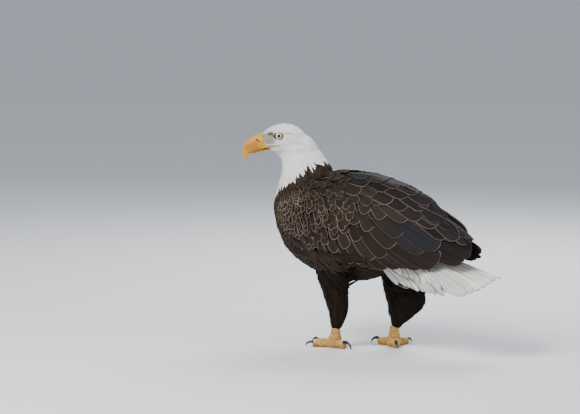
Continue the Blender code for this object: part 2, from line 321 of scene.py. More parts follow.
def hill(values, middle, width):
    """1 at the middle, falling off smoothly on both sides."""
    return np.exp(-(((values - middle) / width) ** 2))


def from_line(places, a, b):
    """For each place: the share of the way from a to b at its nearest point, and how far that is."""
    share = np.clip((places - a) @ (b - a) / ((b - a) @ (b - a)), 0, 1)
    return share, np.linalg.norm(places - (a + share[:, None] * (b - a)), axis=1)


def write_attribute(mesh, name, values, kind="FLOAT"):
    layer = mesh.attributes.new(name, kind, "POINT")
    field = "vector" if kind == "FLOAT_VECTOR" else "value"
    layer.data.foreach_set(field, np.ascontiguousarray(values).ravel())


# %% [markdown]
# ## One skin under the feathers
#
# Under its feathers a bird is one smooth body. The solids are parted where a person names the parts,
# so their copies are joined and remeshed on a fine voxel grid, which closes the thin cuts. The skin
# then sinks by the depth of the plumage, because the solids already reach to the feather tips.

# %% Join the solids into one skin
FLESH = (
    "trunk", "neck", "head", "wing_left", "wing_right", "thigh_left", "thigh_right",
    "undertail_coverts",
)
PLUMAGE_DEPTH = {  # millimetres between the skin and the feather tips
    "trunk": 5.5, "neck": 4.5, "head": 2.2, "wing_left": 5.5, "wing_right": 5.5,
    "thigh_left": 4.0, "thigh_right": 4.0, "undertail_coverts": 6.0,
}
VOXEL = 2.8 * MM


def joined_copy(names):
    """One mesh of the named solids, with their loose triangles welded."""
    whole = bmesh.new()
    for name in names:
        whole.from_mesh(frame["nodes"][name].data)
    bmesh.ops.remove_doubles(whole, verts=whole.verts, dist=1e-6)
    return as_mesh("joined", whole)


def without_crumbs(piece):
    """Drops the small loose bodies that a remesh can leave, and keeps the largest one."""
    shape = bmesh.new()
    shape.from_mesh(piece.data)
    seen, bodies = set(), []
    for first in shape.verts:
        if first in seen:
            continue
        seen.add(first)
        body = [first]
        for vertex in body:
            near = [edge.other_vert(vertex) for edge in vertex.link_edges]
            fresh = [other for other in near if other not in seen]
            seen.update(fresh)
            body.extend(fresh)
        bodies.append(body)
    bodies.sort(key=len)
    bmesh.ops.delete(shape, geom=[v for body in bodies[:-1] for v in body], context="VERTS")
    shape.to_mesh(piece.data)
    shape.free()
    print("loose bodies dropped:", len(bodies) - 1)
    return piece


skin = new_object("skin", joined_copy(FLESH))
EYE_PLUG = 12.9 * MM  # radius of the balls that fill the eye sockets
plugged = bmesh.new()
plugged.from_mesh(skin.data)
for side in SIDES:
    at_eye = Matrix.Translation(on_head(0, EYE_SIDE * side, 0))
    bmesh.ops.create_icosphere(plugged, subdivisions=3, radius=EYE_PLUG, matrix=at_eye)
plugged.to_mesh(skin.data)
plugged.free()
without_crumbs(settle(modified(skin, "REMESH", mode="VOXEL", voxel_size=VOXEL, adaptivity=0)))
settle(modified(skin, "SMOOTH", factor=0.5, iterations=10))


def nearest_part(places, names):
    """For each place, the number of the named solid that lies closest."""
    best = np.full(len(places), 1e9)
    part = np.zeros(len(places), int)
    for number, name in enumerate(names):
        tree = surface_of(frame["nodes"][name].data)
        found = np.array([tree.find_nearest(Vector(place))[3] for place in places])
        closer = found < best
        best[closer], part[closer] = found[closer], number
    return part


def of_part(part, *names):
    """Tells which of the part numbers stand for one of the named solids."""
    return np.isin(part, [FLESH.index(name) for name in names])


WINGS = ("wing_left", "wing_right")
THIGHS = ("thigh_left", "thigh_right")
skin_part = nearest_part(coordinates(skin.data), FLESH)
print("skin:", len(skin.data.polygons), "faces")

# %% [markdown]
# ## Sinking the skin, and the brow
#
# The depth of the plumage is averaged over neighbours, so that no step shows where two parts meet.
# An eagle's fierce look comes from a bony brow that stands over the eye, so the skin is raised there.

# %% Sink the skin by the plumage's depth
edges = numbers(skin.data.edges, "vertices", 2).astype(int)


def spread(values, rounds):
    """Averages each vertex's value with those of its neighbours."""
    values = values.astype(float)
    count = np.bincount(edges.ravel(), minlength=len(values))
    for _ in range(rounds):
        total = np.bincount(edges[:, 0], values[edges[:, 1]], len(values))
        total += np.bincount(edges[:, 1], values[edges[:, 0]], len(values))
        values = (values + total / count) / 2
    return values


depth = spread(np.array([PLUMAGE_DEPTH[name] for name in FLESH])[skin_part], 8)
places = coordinates(skin.data)
local = (places - ORIGIN) / MM
in_head = in_head_axes(places)
face = smooth_step(in_head[:, 0], 14, 34) * (1 - smooth_step(in_head[:, 2], 2, 18))
face = spread(face * of_part(skin_part, "head"), 4)
depth *= 1 - 0.7 * face
depth *= 1 - 0.75 * smooth_step(local[:, 1], 170, 300) * of_part(skin_part, *WINGS)
normals = smooth_normals(skin.data)
places = places - normals * depth[:, None] * MM

# The sockets are filled level with the lids, so that skin and feathers close tightly round the eyes.
LID_LEVEL = EYE_SIDE + 8.0
ahead, sideways, up = in_head_axes(places).T
from_eye = np.hypot(ahead, up)
for side in SIDES:
    beside = sideways * side > 12
    ring = beside & (from_eye > 14) & (from_eye < 19)
    terms = np.column_stack([np.ones(len(up)), ahead, up, ahead**2, up**2, ahead * up])
    fitted = terms @ np.linalg.lstsq(terms[ring], np.abs(sideways[ring]), rcond=None)[0]
    close, far = 1 - smooth_step(from_eye, 9, 16), smooth_step(from_eye, 14, 17.5)
    level = (fitted * (1 - close) + LID_LEVEL * close) * (1 - far) + np.abs(sideways) * far
    raised = np.where(beside, level - np.abs(sideways), 0)
    places += (raised * MM)[:, None] * np.array(head_left) * side

# The brow is a ridge in two straight runs, and swells round out the breast and the thighs.
BROW = np.array(((22, 24, 8), (9, 30, 11.5), (-8, 31, 11.5)))  # ahead, side and up
BROW_RISE, BROW_WIDTH = 2.4, 4.6
for start, end in zip(BROW, BROW[1:]):
    for side in SIDES:
        mirror = np.array((1, side, 1))
        away = from_line(in_head, start * mirror, end * mirror)[1]
        places += (BROW_RISE * hill(away, 0, BROW_WIDTH) * MM)[:, None] * np.array(head_left) * side
SWELLS = (  # x, y, z, reach, rise: where muscle or loose feathers fill the form
    (48, -200, 336, 46, 4.0), (-48, -200, 336, 46, 4.0), (0, -228, 325, 50, 3.0),
    (48, -85, 110, 30, 5.0), (-48, 20, 112, 30, 4.0),
)
for x, y, z, reach, rise in SWELLS:
    away = np.linalg.norm(local - (x, y, z), axis=1)
    places += normals * (rise * MM * hill(away, 0, reach))[:, None]
move_vertices(skin.data, places)
skin.data.shade_smooth()
print("skin sunk by", round(float(depth.min()), 1), "to", round(float(depth.max()), 1), "mm")

# %% [markdown]
# ## Where the plumage is white
#
# An adult's head, neck and tail are white and the rest is dark brown. The collar is a slanted plane
# through the neck, broken up by the feathers themselves. One function answers for skin and feathers
# alike, so the two never disagree where a gap lets the skin show.

# %% The markings
COLLAR = (-145, 384, 35)  # y and z of a point in the collar's plane, and its slope in degrees


def whiteness(local, part):
    """1 where the plumage is white and 0 where it is dark, from places in the bird's millimetres."""
    y, z, slope = COLLAR
    tilt = math.radians(slope)
    above = -math.sin(tilt) * (local[:, 1] - y) + math.cos(tilt) * (local[:, 2] - z)
    ahead = smooth_step(-local[:, 1], 40, 75)
    collar = (above > 0) & (ahead > 0.5)
    tail = of_part(part, "undertail_coverts")
    return (collar | tail).astype(float)


local = (coordinates(skin.data) - ORIGIN) / MM
lores = smooth_step(in_head[:, 0], 6, 16) * (1 - smooth_step(np.abs(in_head[:, 2] + 7), 8, 15))
write_attribute(skin.data, "white", whiteness(local, skin_part) * (1 - 0.6 * lores))
print("white share of the skin:", round(float(whiteness(local, skin_part).mean()), 2))

# %% [markdown]
# ## Unwrapping the skin
#
# Each feather takes its place on the bake map from where its root lies, so the skin needs an unwrap of its
# own shape. Smart Project cuts it into islands by angle, which suits a closed body.

# %% Unwrap the skin
SKIN_MAP = "OFBake"
skin.data.uv_layers.new(name=SKIN_MAP)
bpy.context.view_layer.objects.active = skin
skin.select_set(True)
bpy.ops.object.mode_set(mode="EDIT")
bpy.ops.mesh.select_all(action="SELECT")
bpy.ops.uv.smart_project(angle_limit=math.radians(66), island_margin=0.002, rotate_method="AXIS_ALIGNED")
bpy.ops.object.mode_set(mode="OBJECT")
skin.select_set(False)
print("unwrapped")

# %% [markdown]
# ## One feather
#
# A body feather is a vane on a shaft, narrow at the root and round at the tip. A few quads are enough,
# because thousands are laid over each other. Four uneven versions of each kind keep the rows from
# looking stamped. The UV map is the feather laid flat, so the shader can find its edge and shaft.


# %% Feather shapes
def vane_mesh(name, seed, tip, root, roundness, columns, rows, uneven, thickness):
    """A flat vane, one unit long and one wide. tip is where its end starts to round off."""
    chance = np.random.default_rng(seed)
    shape = bmesh.new()
    bmesh.ops.create_grid(shape, x_segments=columns, y_segments=rows, size=1)
    for vertex in shape.verts:
        across = vertex.co.x
        along = 1 - (1 - (vertex.co.y + 1) / 2) ** 1.6
        width = root + (1 - root) * math.sin(math.pi / 2 * min(along / tip, 1))
        if along > tip:
            width *= max(0.0, 1 - ((along - tip) / (1 - tip)) ** roundness) ** (1 / roundness)
        edge = uneven * abs(across) ** 4 * chance.uniform(-1, 1) * (1 if along > 0.2 else 0)
        vertex.co = (across * width / 2 * (1 + edge), along * (1 + edge * 0.5), 0)
    bmesh.ops.remove_doubles(shape, verts=shape.verts, dist=1e-4)
    rise = shape.verts.layers.float.new("rise")
    if thickness:
        top = list(shape.verts)
        made = bmesh.ops.duplicate(shape, geom=shape.verts[:] + shape.edges[:] + shape.faces[:])
        under = made["vert_map"]
        rim = [edge for edge in shape.edges if edge.is_boundary and edge.verts[0] in top]
        for edge in rim:
            a, b = edge.verts
            shape.faces.new((b, a, under[a], under[b]))
        for vertex in top:
            rachis = math.exp(-((vertex.co.x / 0.07) ** 2)) * (1 - 0.7 * vertex.co.y)
            vertex[rise] = thickness / 2 + rachis * thickness
            under[vertex][rise] = -thickness / 2
            vertex.co.z, under[vertex].co.z = 0.001, -0.001
        bmesh.ops.recalc_face_normals(shape, faces=shape.faces)
    flat = shape.loops.layers.uv.new("vane")
    for face in shape.faces:
        for loop in face.loops:
            loop[flat].uv = (loop.vert.co.x + 0.5, loop.vert.co.y)
    mesh = as_mesh(name, shape)
    if not thickness and sum(p.normal.z for p in mesh.polygons) < 0:
        mesh.flip_normals()
    return mesh


KINDS = {  # where the tip starts, root width, roundness, columns, rows, unevenness, thickness
    "hackle": (0.34, 0.5, 1.25, 2, 4, 0.06, 0),
    "contour": (0.55, 0.5, 1.9, 4, 6, 0.10, 0),
    "covert": (0.68, 0.45, 2.3, 4, 7, 0.04, 0),
    "loose": (0.30, 0.6, 1.1, 2, 5, 0.15, 0),
    "quill": (0.80, 0.42, 2.2, 12, 26, 0.012, 0.0007),
}
VARIANTS = 4


def feather_collection(kind):
    collection = bpy.data.collections.new("kind_" + kind)
    for number in range(VARIANTS):
        name = f"{kind}_{number}"
        mesh = vane_mesh(name, number, *KINDS[kind])
        collection.objects.link(bpy.data.objects.new(name, mesh))
    return collection


feather_kinds = {kind: feather_collection(kind) for kind in KINDS}

# %% [markdown]
# ## Laying feathers with Geometry Nodes
#
# Each root is a point that knows its length, width, direction and colour. The tree puts a feather on
# each point, makes the instances real, and then presses every vertex towards the body: it keeps its
# place along the surface and gets the height that a feather has there, low at the root, lifted at the
# tip and arched across. So a long feather follows the body and each tip lies over the next root.


# %% The laying tree
def laying_tree():
    tree = bpy.data.node_groups.new("lay_feathers", "GeometryNodeTree")
    face = tree.interface
    face.new_socket("Geometry", in_out="OUTPUT", socket_type="NodeSocketGeometry")
    for name, kind in (
        ("Geometry", "Geometry"), ("Feathers", "Collection"), ("Support", "Object"),
        ("Camber", "Float"), ("Finish", "Material"),
    ):
        face.new_socket(name, in_out="INPUT", socket_type="NodeSocket" + kind)
    g = Graph(tree)
    inside = g.node("NodeGroupInput")

    def named(name, kind="FLOAT"):
        settings = {"data_type": kind}
        return g.node("GeometryNodeInputNamedAttribute", settings, {"Name": name})["Attribute"]

    align = "FunctionNodeAlignRotationToVector"
    facing = g.node(align, {"axis": "Z"}, {"Vector": named("facing", "FLOAT_VECTOR")})["Rotation"]
    sockets = {"Rotation": facing, "Vector": named("lie", "FLOAT_VECTOR")}
    turned = g.node(align, {"axis": "Y", "pivot_axis": "Z"}, sockets)["Rotation"]
    sockets = {"Collection": inside["Feathers"], "Separate Children": True, "Reset Children": True}
    kinds = g.node("GeometryNodeCollectionInfo", None, sockets)["Instances"]
    sockets = {
        "Points": inside["Geometry"], "Instance": kinds, "Pick Instance": True,
        "Instance Index": named("shape", "INT"), "Rotation": turned,
        "Scale": g.join(named("girth"), named("size"), 1.0),
    }
    placed = g.node("GeometryNodeInstanceOnPoints", None, sockets)["Instances"]
    real = g.node("GeometryNodeRealizeInstances", None, {"Geometry": placed})["Geometry"]

    where = g.node("GeometryNodeInputPosition")["Position"]
    body = g.node("GeometryNodeObjectInfo", None, {"Object": inside["Support"]})["Geometry"]

    def on_body_surface(value):
        settings = {"data_type": "FLOAT_VECTOR"}
        sockets = {"Mesh": body, "Value": value, "Sample Position": where}
        return g.node("GeometryNodeSampleNearestSurface", settings, sockets)["Value"]

    ground = on_body_surface(g.node("GeometryNodeInputPosition")["Position"])
    outward = g.vector("NORMALIZE", on_body_surface(named("outward", "FLOAT_VECTOR")))
    off = g.vector("SUBTRACT", where, ground)
    height_now = g.vector("DOT_PRODUCT", off, outward, out="Value")
    u, along, _ = g.parts(named("vane", "FLOAT_VECTOR"))
    across = abs(u * 2 - 1)
    arch = (1 - across * across) * named("girth") * inside["Camber"]
    height = named("stack") + named("lift") * along**1.3 + arch * along.step(0.0, 0.3) + named("rise")
    height = height + (u - 0.5) * named("girth") * named("roll")
    shift = g.node("ShaderNodeVectorMath", {"operation": "SCALE"}, {0: outward, 3: height - height_now})[0]
    pressed = g.node("GeometryNodeSetPosition", None, {"Geometry": real, "Offset": shift})["Geometry"]

    patch = named("patch")
    flat = g.join((u - 0.5) * patch, (along - 0.5) * patch, 0.0)
    spot = g.vector("ADD", named("root_map", "FLOAT_VECTOR"), flat)
    settings = {"data_type": "FLOAT2", "domain": "CORNER"}
    sockets = {"Geometry": pressed, "Name": SKIN_MAP, "Value": spot}
    mapped = g.node("GeometryNodeStoreNamedAttribute", settings, sockets)["Geometry"]
    sockets = {"Geometry": mapped, "Material": inside["Finish"]}
    done = g.node("GeometryNodeSetMaterial", None, sockets)["Geometry"]
    g.node("NodeGroupOutput", None, {"Geometry": done})
    return tree


laying = laying_tree()
input_of = {item.name: item.identifier for item in laying.interface.items_tree if item.in_out == "INPUT"}
ROOT_FIELDS = {
    **dict.fromkeys(("facing", "lie", "root_map", "pigment"), "FLOAT_VECTOR"), "shape": "INT",
    **dict.fromkeys(("size", "girth", "lift", "stack", "patch", "roll", "fringe", "rim", "chance"), "FLOAT"),
}
KEPT_FIELDS = ("pigment", "fringe", "rim", "chance")


def lay_feathers(name, roots, kind, support, finish, camber=0.06):
    """Lays one piece of plumage: roots holds an array for each field, with places under co."""
    mesh = bpy.data.meshes.new(name)
    mesh.from_pydata(roots["co"].tolist(), [], [])
    for field, data_kind in ROOT_FIELDS.items():
        write_attribute(mesh, field, roots[field], data_kind)
    piece = new_object(name, mesh)
    layer = piece.modifiers.new("lay", "NODES")
    layer.node_group = laying
    inputs = {
        "Feathers": feather_kinds[kind], "Support": support, "Camber": camber, "Finish": finish.material,
    }
    for word, value in inputs.items():
        layer[input_of[word]] = value
    settle(piece)
    for field in [*ROOT_FIELDS, "rise"]:
        if field in piece.data.attributes and field not in KEPT_FIELDS:
            piece.data.attributes.remove(piece.data.attributes[field])
    return shown_by_vane(piece)


def shown_by_vane(piece):
    """The vane map is the one that the finish reads, and the faces are smooth."""
    layers = piece.data.uv_layers
    layers["vane"].active_render = True
    layers.active = layers["vane"]
    piece.data.shade_smooth()
    return piece


def with_outward(support):
    """Stores the smooth normals that the laying tree reads from what feathers lie on."""
    write_attribute(support.data, "outward", smooth_normals(support.data), "FLOAT_VECTOR")
    return support


with_outward(skin)
print("laying tree:", len(laying.nodes), "nodes")

# %% [markdown]
# ## Choosing where feathers grow
#
# Roots are spread so that no two stand closer than their feathers need: many candidates are thrown on
# the skin, and each one kept removes those within its own reach. The reach follows the feather's
# width, so small feathers on the face grow close together and large ones on the back stand apart.

# %% Throw and thin
chance = np.random.default_rng(7)
mesh = skin.data
mesh.calc_loop_triangles()
corners = np.array([t.vertices for t in mesh.loop_triangles])
skin_places, skin_normals = coordinates(mesh), smooth_normals(mesh)
triangle = skin_places[corners]
across = np.cross(triangle[:, 1] - triangle[:, 0], triangle[:, 2] - triangle[:, 0])
area = np.linalg.norm(across, axis=1) / 2
triangle_facing = across / (2 * area[:, None] + 1e-15)


def thrown(weight, count):
    """Random places on the skin, thicker where the weight of a triangle is larger."""
    odds = area * weight
    picked = chance.choice(len(odds), count, p=odds / odds.sum())
    a, b = np.sqrt(chance.random(count)), chance.random(count)
    share = np.stack([1 - a, a * (1 - b), a * b], axis=1)[:, :, None]
    return (triangle[picked] * share).sum(1), picked


def tree_of(places):
    tree = kdtree.KDTree(len(places))
    for number, place in enumerate(places):
        tree.insert(place, number)
    tree.balance()
    return tree


def thinned(places, reach):
    """Numbers of places such that none lies within the reach (in mm) of one kept before it."""
    tree = tree_of(places)
    open_to = np.ones(len(reach), bool)
    kept = []
    for number in range(len(reach)):
        if open_to[number]:
            kept.append(number)
            for _, near, _ in tree.find_range(places[number], reach[number] * MM):
                open_to[near] = False
    return np.array(kept)


print("skin area", round(float(area.sum()), 3), "square metres")

# %% Even out and read the skin
skin_surface = surface_of(mesh)


def evened(places, reach, rounds=5):
    """Lets near neighbours push each other apart, which turns chance into rows."""
    for _ in range(rounds):
        tree = tree_of(places)
        moved = places.copy()
        for number, place in enumerate(places):
            ideal = reach[number] * MM * 1.28
            for near, other, away in tree.find_n(place, 7):
                if 0 < away < ideal:
                    moved[number] += (place - np.array(near)) / away * (ideal - away) * 0.3
        places = np.array([skin_surface.find_nearest(Vector(place))[0] for place in moved])
    return places


def read_skin(places):
    """What the skin holds at each place: normal, place on the unwrap, part and plumage depth."""
    flat = mesh.uv_layers[SKIN_MAP].data
    vertices, spots = [], []
    for place in places:
        _, _, face, _ = skin_surface.find_nearest(Vector(place))
        loops = mesh.polygons[face].loop_indices
        nearest = min(loops, key=lambda loop: (
            mesh.vertices[mesh.loops[loop].vertex_index].co - Vector(place)).length)
        vertices.append(mesh.loops[nearest].vertex_index)
        spots.append((*flat[nearest].uv, 0))
    return {
        "co": places, "facing": skin_normals[vertices], "root_map": np.array(spots),
        "part": skin_part[vertices], "depth": depth[vertices],
    }


print("skin ready for", len(mesh.polygons), "faces")

# %% [markdown]
# ## Combing the plumage
#
# Feathers lie back from the bill, hang down the neck and breast and sweep towards the tail. A comb is
# a table of places, each with the direction, length and width of the feathers there. Any other place
# takes a mean of the combs around it, the nearest counting most, so the lie turns smoothly.

# %% The combs
HEAD_COMBS = (  # ahead, side, up | direction in the same axes | length, width
    (32, 0, 10, -1, 0, 0.30, 6.5, 2.3),
    (26, 20, 4, -1, 0, 0.12, 5, 1.7),
    (28, 19, -12, -1, 0, -0.1, 4.5, 1.5),
    (4, 0, 28, -1, 0, 0.02, 9.5, 3.2),
    (6, 30, 13, -1, 0, 0.10, 7.5, 2.5),
    (-16, 34, 4, -1, 0, -0.12, 10, 3.3),
    (14, 30, -16, -1, 0, -0.25, 6.5, 2.1),
    (-6, 35, -26, -0.8, 0, -0.6, 10, 3.2),
    (22, 10, -34, -0.9, 0, -0.4, 7, 2.4),
    (0, 12, -52, -0.5, 0, -0.9, 12, 3.8),
    (-28, 10, 28, -1, 0, -0.35, 13, 4.2),
    (-50, 8, 12, -0.55, 0, -0.85, 18, 5.2),
    (-34, 33, -20, -0.6, 0, -0.8, 15, 4.4),
)
BODY_COMBS = (  # x, y, z | direction | length, width; mirrored to the other side
    (0, -102, 428, 0, 0.62, -0.8, 16, 5.0),
    (48, -150, 415, 0.1, 0.30, -0.95, 17, 4.8),
    (12, -222, 420, 0, 0.18, -1, 18, 4.6),
    (8, -236, 380, 0, 0.10, -1, 18, 4.9),
    (60, -160, 372, 0.1, 0.45, -0.85, 24, 8.5),
    (0, -268, 330, 0, 0.05, -1, 27, 11),
    (50, -225, 330, 0, 0.28, -0.95, 24, 10),
    (58, -205, 290, 0, 0.35, -0.93, 25, 11),
    (0, -250, 262, 0, 0.45, -0.9, 30, 13),
    (60, -190, 240, 0, 0.75, -0.65, 32, 12),
    (0, -190, 190, 0, 0.9, -0.4, 34, 13),
    (78, -120, 215, 0, 0.88, -0.48, 36, 11),
    (0, -60, 155, 0, 1, -0.05, 36, 12),
    (80, -30, 195, 0, 0.88, -0.47, 42, 11),
    (0, 70, 170, 0, 0.95, 0.15, 36, 11),
    (66, 70, 205, 0, 0.9, -0.4, 36, 12),
    (72, -172, 345, 0, 0.40, -0.92, 22, 10.5),
    (84, -130, 320, 0, 0.31, -0.95, 27, 13.5),
    (92, -80, 345, 0, 0.36, -0.93, 30, 15),
    (96, -75, 270, 0, 0.33, -0.94, 31, 16),
    (97, -20, 300, 0, 0.40, -0.91, 33, 18),
    (97, 15, 270, 0, 0.48, -0.87, 36, 20),
    (90, 40, 320, 0, 0.6, -0.8, 40, 23),
    (84, -30, 350, 0, 0.6, -0.8, 34, 18),
    (0, -90, 425, 0, 0.97, -0.1, 30, 11),
    (45, -110, 400, 0.1, 0.93, -0.3, 34, 12),
    (66, -60, 385, 0, 0.93, -0.35, 40, 17),
    (0, 0, 415, 0, 0.98, -0.18, 48, 23),
    (30, 60, 400, 0, 0.93, -0.35, 54, 26),
    (20, 170, 350, -0.1, 0.88, -0.47, 60, 28),
    (70, -60, 120, 0, 0.22, -1, 30, 8),
    (60, -50, 70, 0, 0.12, -1, 20, 6),
    (-48, 110, 120, 0, 0.6, -0.8, 36, 9),
    (0, 150, 165, 0, 0.93, -0.38, 44, 15),
    (0, 200, 158, 0, 0.95, -0.30, 40, 15),
)


HEAD_REACH, BODY_REACH = 16, 34  # how far a comb counts, in millimetres
HEAD_SLIMMING = 0.8  # feathers of the head are laid a little narrower than their combs say


def comb_table():
    """All combs in the bird's millimetres, with their mirror images."""
    rows = []
    for ahead, side, up, da, ds, du, length, width in HEAD_COMBS:
        for sign in (1, -1) if side else (1,):
            place = (on_head(ahead, side * sign, up) - body_origin) / MM
            lie = head_ahead * da + head_left * ds * sign + UP * du
            rows.append((*place, *lie, length, width * HEAD_SLIMMING, HEAD_REACH))
    for x, y, z, dx, dy, dz, length, width in BODY_COMBS:
        for sign in (1, -1) if x else (1,):
            rows.append((x * sign, y, z, dx * sign, dy, dz, length, width, BODY_REACH))
    return np.array(rows, float)


combs = comb_table()


def combed(places, normals):
    """Direction, length and width of the plumage at each place."""
    local = (places - ORIGIN) / MM
    lie, length, width, total = (np.zeros((len(local), 3)), *np.zeros((3, len(local))))
    for x, y, z, dx, dy, dz, long, wide, reach in combs:
        away = np.linalg.norm(local - (x, y, z), axis=1)
        weight = hill(away, 0, reach) + 1e-4 / (1 + (away / reach) ** 4)
        lie += weight[:, None] * np.array((dx, dy, dz)) / math.hypot(dx, dy, dz)
        length += weight * long
        width += weight * wide
        total += weight
    lie -= normals * (lie * normals).sum(1)[:, None]
    lie /= np.linalg.norm(lie, axis=1)[:, None] + 1e-9
    return lie, length / total, width / total


print(len(combs), "combs")

# %% [markdown]
# ## A sheet for the wing's long feathers
#
# The long feathers of a folded wing lie almost flat on each other and their tips stand free of the
# body. They need something smooth to lie on that goes on past the wing's edge. Rays from the side find
# the wing, and the gaps round it are filled with the mean of their neighbours, as a cloth would hang.


# %% The wing sheet
SHEET_STEP = 6.0
sheet_y = np.arange(-90, 372, SHEET_STEP)
sheet_z = np.arange(168, 402, SHEET_STEP)
FILLING_ROUNDS, SMOOTHING_ROUNDS = 594, 6


def wing_sheet():
    """Heights of the left wing's outer side above the bird's middle plane, in millimetres."""
    height = np.full((len(sheet_y), len(sheet_z)), np.nan)
    on_left_wing = of_part(skin_part, "wing_left")
    for i, y in enumerate(sheet_y):
        for j, z in enumerate(sheet_z):
            hit, normal, face, _ = skin_surface.ray_cast(on_body(250, y, z), Vector((-1, 0, 0)))
            if hit and normal.x > 0.55 and on_left_wing[skin.data.polygons[face].vertices[0]]:
                height[i, j] = (hit.x - body_origin.x) / MM
    known = ~np.isnan(height)
    height = np.where(known, height, height[known].mean())
    for round_number in range(FILLING_ROUNDS + SMOOTHING_ROUNDS):
        padded = np.pad(height, 1, mode="reflect", reflect_type="odd")
        around = (padded[2:, 1:-1] + padded[:-2, 1:-1] + padded[1:-1, 2:] + padded[1:-1, :-2]) / 4
        height = np.where(known & (round_number < FILLING_ROUNDS), height, around)
    return height


sheet_height = wing_sheet()


def height_at(y, z):
    """The sheet's height at places given by y and z in millimetres."""
    i = np.clip((np.asarray(y) - sheet_y[0]) / SHEET_STEP, 0, len(sheet_y) - 1.001)
    j = np.clip((np.asarray(z) - sheet_z[0]) / SHEET_STEP, 0, len(sheet_z) - 1.001)
    a, b = i.astype(int), j.astype(int)
    i, j = i - a, j - b
    low = sheet_height[a, b] * (1 - i) + sheet_height[a + 1, b] * i
    high = sheet_height[a, b + 1] * (1 - i) + sheet_height[a + 1, b + 1] * i
    return low * (1 - j) + high * j


def sheet_object(name, side):
    """The sheet as a support, on the left with side 1 and on the right with side -1."""
    rows, columns = sheet_height.shape
    spots = [(i, j) for i in range(rows) for j in range(columns)]
    points = [on_body(side * sheet_height[i, j], sheet_y[i], sheet_z[j]) for i, j in spots]
    faces = []
    for i in range(rows - 1):
        for j in range(columns - 1):
            quad = [i * columns + j, (i + 1) * columns + j, (i + 1) * columns + j + 1, i * columns + j + 1]
            faces.append(quad[:: int(side)])
    mesh = bpy.data.meshes.new(name)
    mesh.from_pydata(points, [], faces)
    mesh.update()
    return with_outward(new_object(name, mesh))


sheets = {side: sheet_object("sheet_" + word, side) for side, word in SIDES.items()}
print("sheet", sheet_height.shape, round(float(sheet_height.min())), round(float(sheet_height.max())))

# %% [markdown]
# ## A bridge over the back
#
# Between the folded wings and the back there are valleys that the feathers of a living bird hide. A
# copy of the skin is blown up in small steps until the valleys close, made into one surface after each
# step, and let down by the same amount: everything keeps its place and the valleys stay filled. The
# feathers of the shoulders and the flanks lie on it.

# %% The bridge
BRIDGE_STEP, BRIDGE_STEPS, BRIDGE_LIFT = 8, 4, 1.5  # mm, how often, and mm left over at the end
bridge = new_object("bridge", skin.data.copy())
for step in [BRIDGE_STEP] * BRIDGE_STEPS + [-BRIDGE_STEP] * BRIDGE_STEPS + [BRIDGE_LIFT]:
    modified(bridge, "REMESH", mode="VOXEL", voxel_size=5 * MM)
    modified(bridge, "SMOOTH", factor=0.5, iterations=3)
    settle(modified(bridge, "DISPLACE", strength=step * MM, mid_level=0))
with_outward(bridge)
bridge_surface = surface_of(bridge.data)
print("bridge", len(bridge.data.polygons), "faces")


def on_bridge(places):
    """The nearest places on the bridge, and the way it faces there."""
    near = [bridge_surface.find_nearest(Vector(place)) for place in places]
    return np.array([n[0] for n in near]), np.array([n[1] for n in near])

# %% [markdown]
# ## The colour of a feather
#
# A dark feather of an eagle is brown with a worn, pale rim, and the rims draw the scaly pattern of the
# wing. The vane map gives the place across and along each feather. The same formula that shaped the
# outline tells how close a point is to the rim, so the pale line has an even width all round the tip.
# Barbs run slanting from the shaft to the rim, as fine streaks in the colour and the bump.


# %% Feather finishes
PALE_RIM = (0.43, 0.34, 0.27)


def plumage(kind, roughness=0.68, streaks=0.25, root_shade=0.55):
    """The finish of one kind of feather."""
    tip, root_width, roundness = KINDS[kind][:3]
    finish = Finish("plumage_" + kind, Specular_IOR_Level=0.16)
    u, along, _ = finish.parts(finish.node("ShaderNodeUVMap", {"uv_map": "vane"})[0])
    across = abs(u * 2 - 1)
    end = ((along - tip) / (1 - tip)).over(0.0)
    opening = along.do("SINE", (along / tip).under(1.0) * (math.pi / 2))
    width = opening * (1 - root_width) + root_width
    reach = ((across / width) ** roundness + end**roundness) ** (1 / roundness)
    rim = finish.attribute("rim")
    edge = ((reach - (1 - rim)) / rim).step(0.05, 0.75) * finish.attribute("fringe")
    chance = finish.attribute("chance")
    barbs = finish.join(across * 5.0 - along * 22.0, across * 1.5, chance * 40.0)
    streak = finish.noise(barbs, 2.2, 2.0, 0.6)
    shaft = across.step(0.03, 0.12, 1.0, 0.0) * along.step(0.75, 1.0, 1.0, 0.2)
    pigment = finish.attribute("pigment", "Vector")
    light = (streak - 0.5) * streaks + 1.0
    # Each feather darkens towards its root by root_shade: painted shade where the feathers before it cover
    # it.
    light = light * along.step(0.05, 0.55, root_shade, 1.0) * (1.0 - shaft * 0.22)
    shade = finish.join(light, light, light)
    colour = finish.mix(edge, pigment, PALE_RIM + (1,))
    feather = finish.vector("MULTIPLY", colour, shade)
    finish.feed("Base Color", feather)
    finish.feed("Roughness", edge * 0.2 + roughness)
    finish.bump(streak * 0.6 + shaft * 0.8, 0.0006, 0.5)
    return finish


finishes = {kind: plumage(kind) for kind in KINDS}
finishes["hackle"] = plumage("hackle", 0.65, 0.12, 0.85)

skin_finish = Finish("skin", Roughness=0.75, Specular_IOR_Level=0.2)
down = skin_finish.noise(skin_finish.place(), 420.0, 4.0, 0.7)
DARK_DOWN, WHITE_DOWN = (0.030, 0.023, 0.019, 1), (0.62, 0.60, 0.56, 1)
under = skin_finish.mix(skin_finish.attribute("white"), DARK_DOWN, WHITE_DOWN)
grain = skin_finish.mix(down.step(0.3, 0.7), (0.75, 0.75, 0.75, 1), (1.1, 1.1, 1.1, 1))
skin_finish.feed("Base Color", skin_finish.mix(1.0, under, grain, "MULTIPLY"))
skin_finish.bump(down, 0.0015)
skin.data.materials.clear()
skin.data.materials.append(skin_finish.material)
print("feather finishes:", len(finishes))

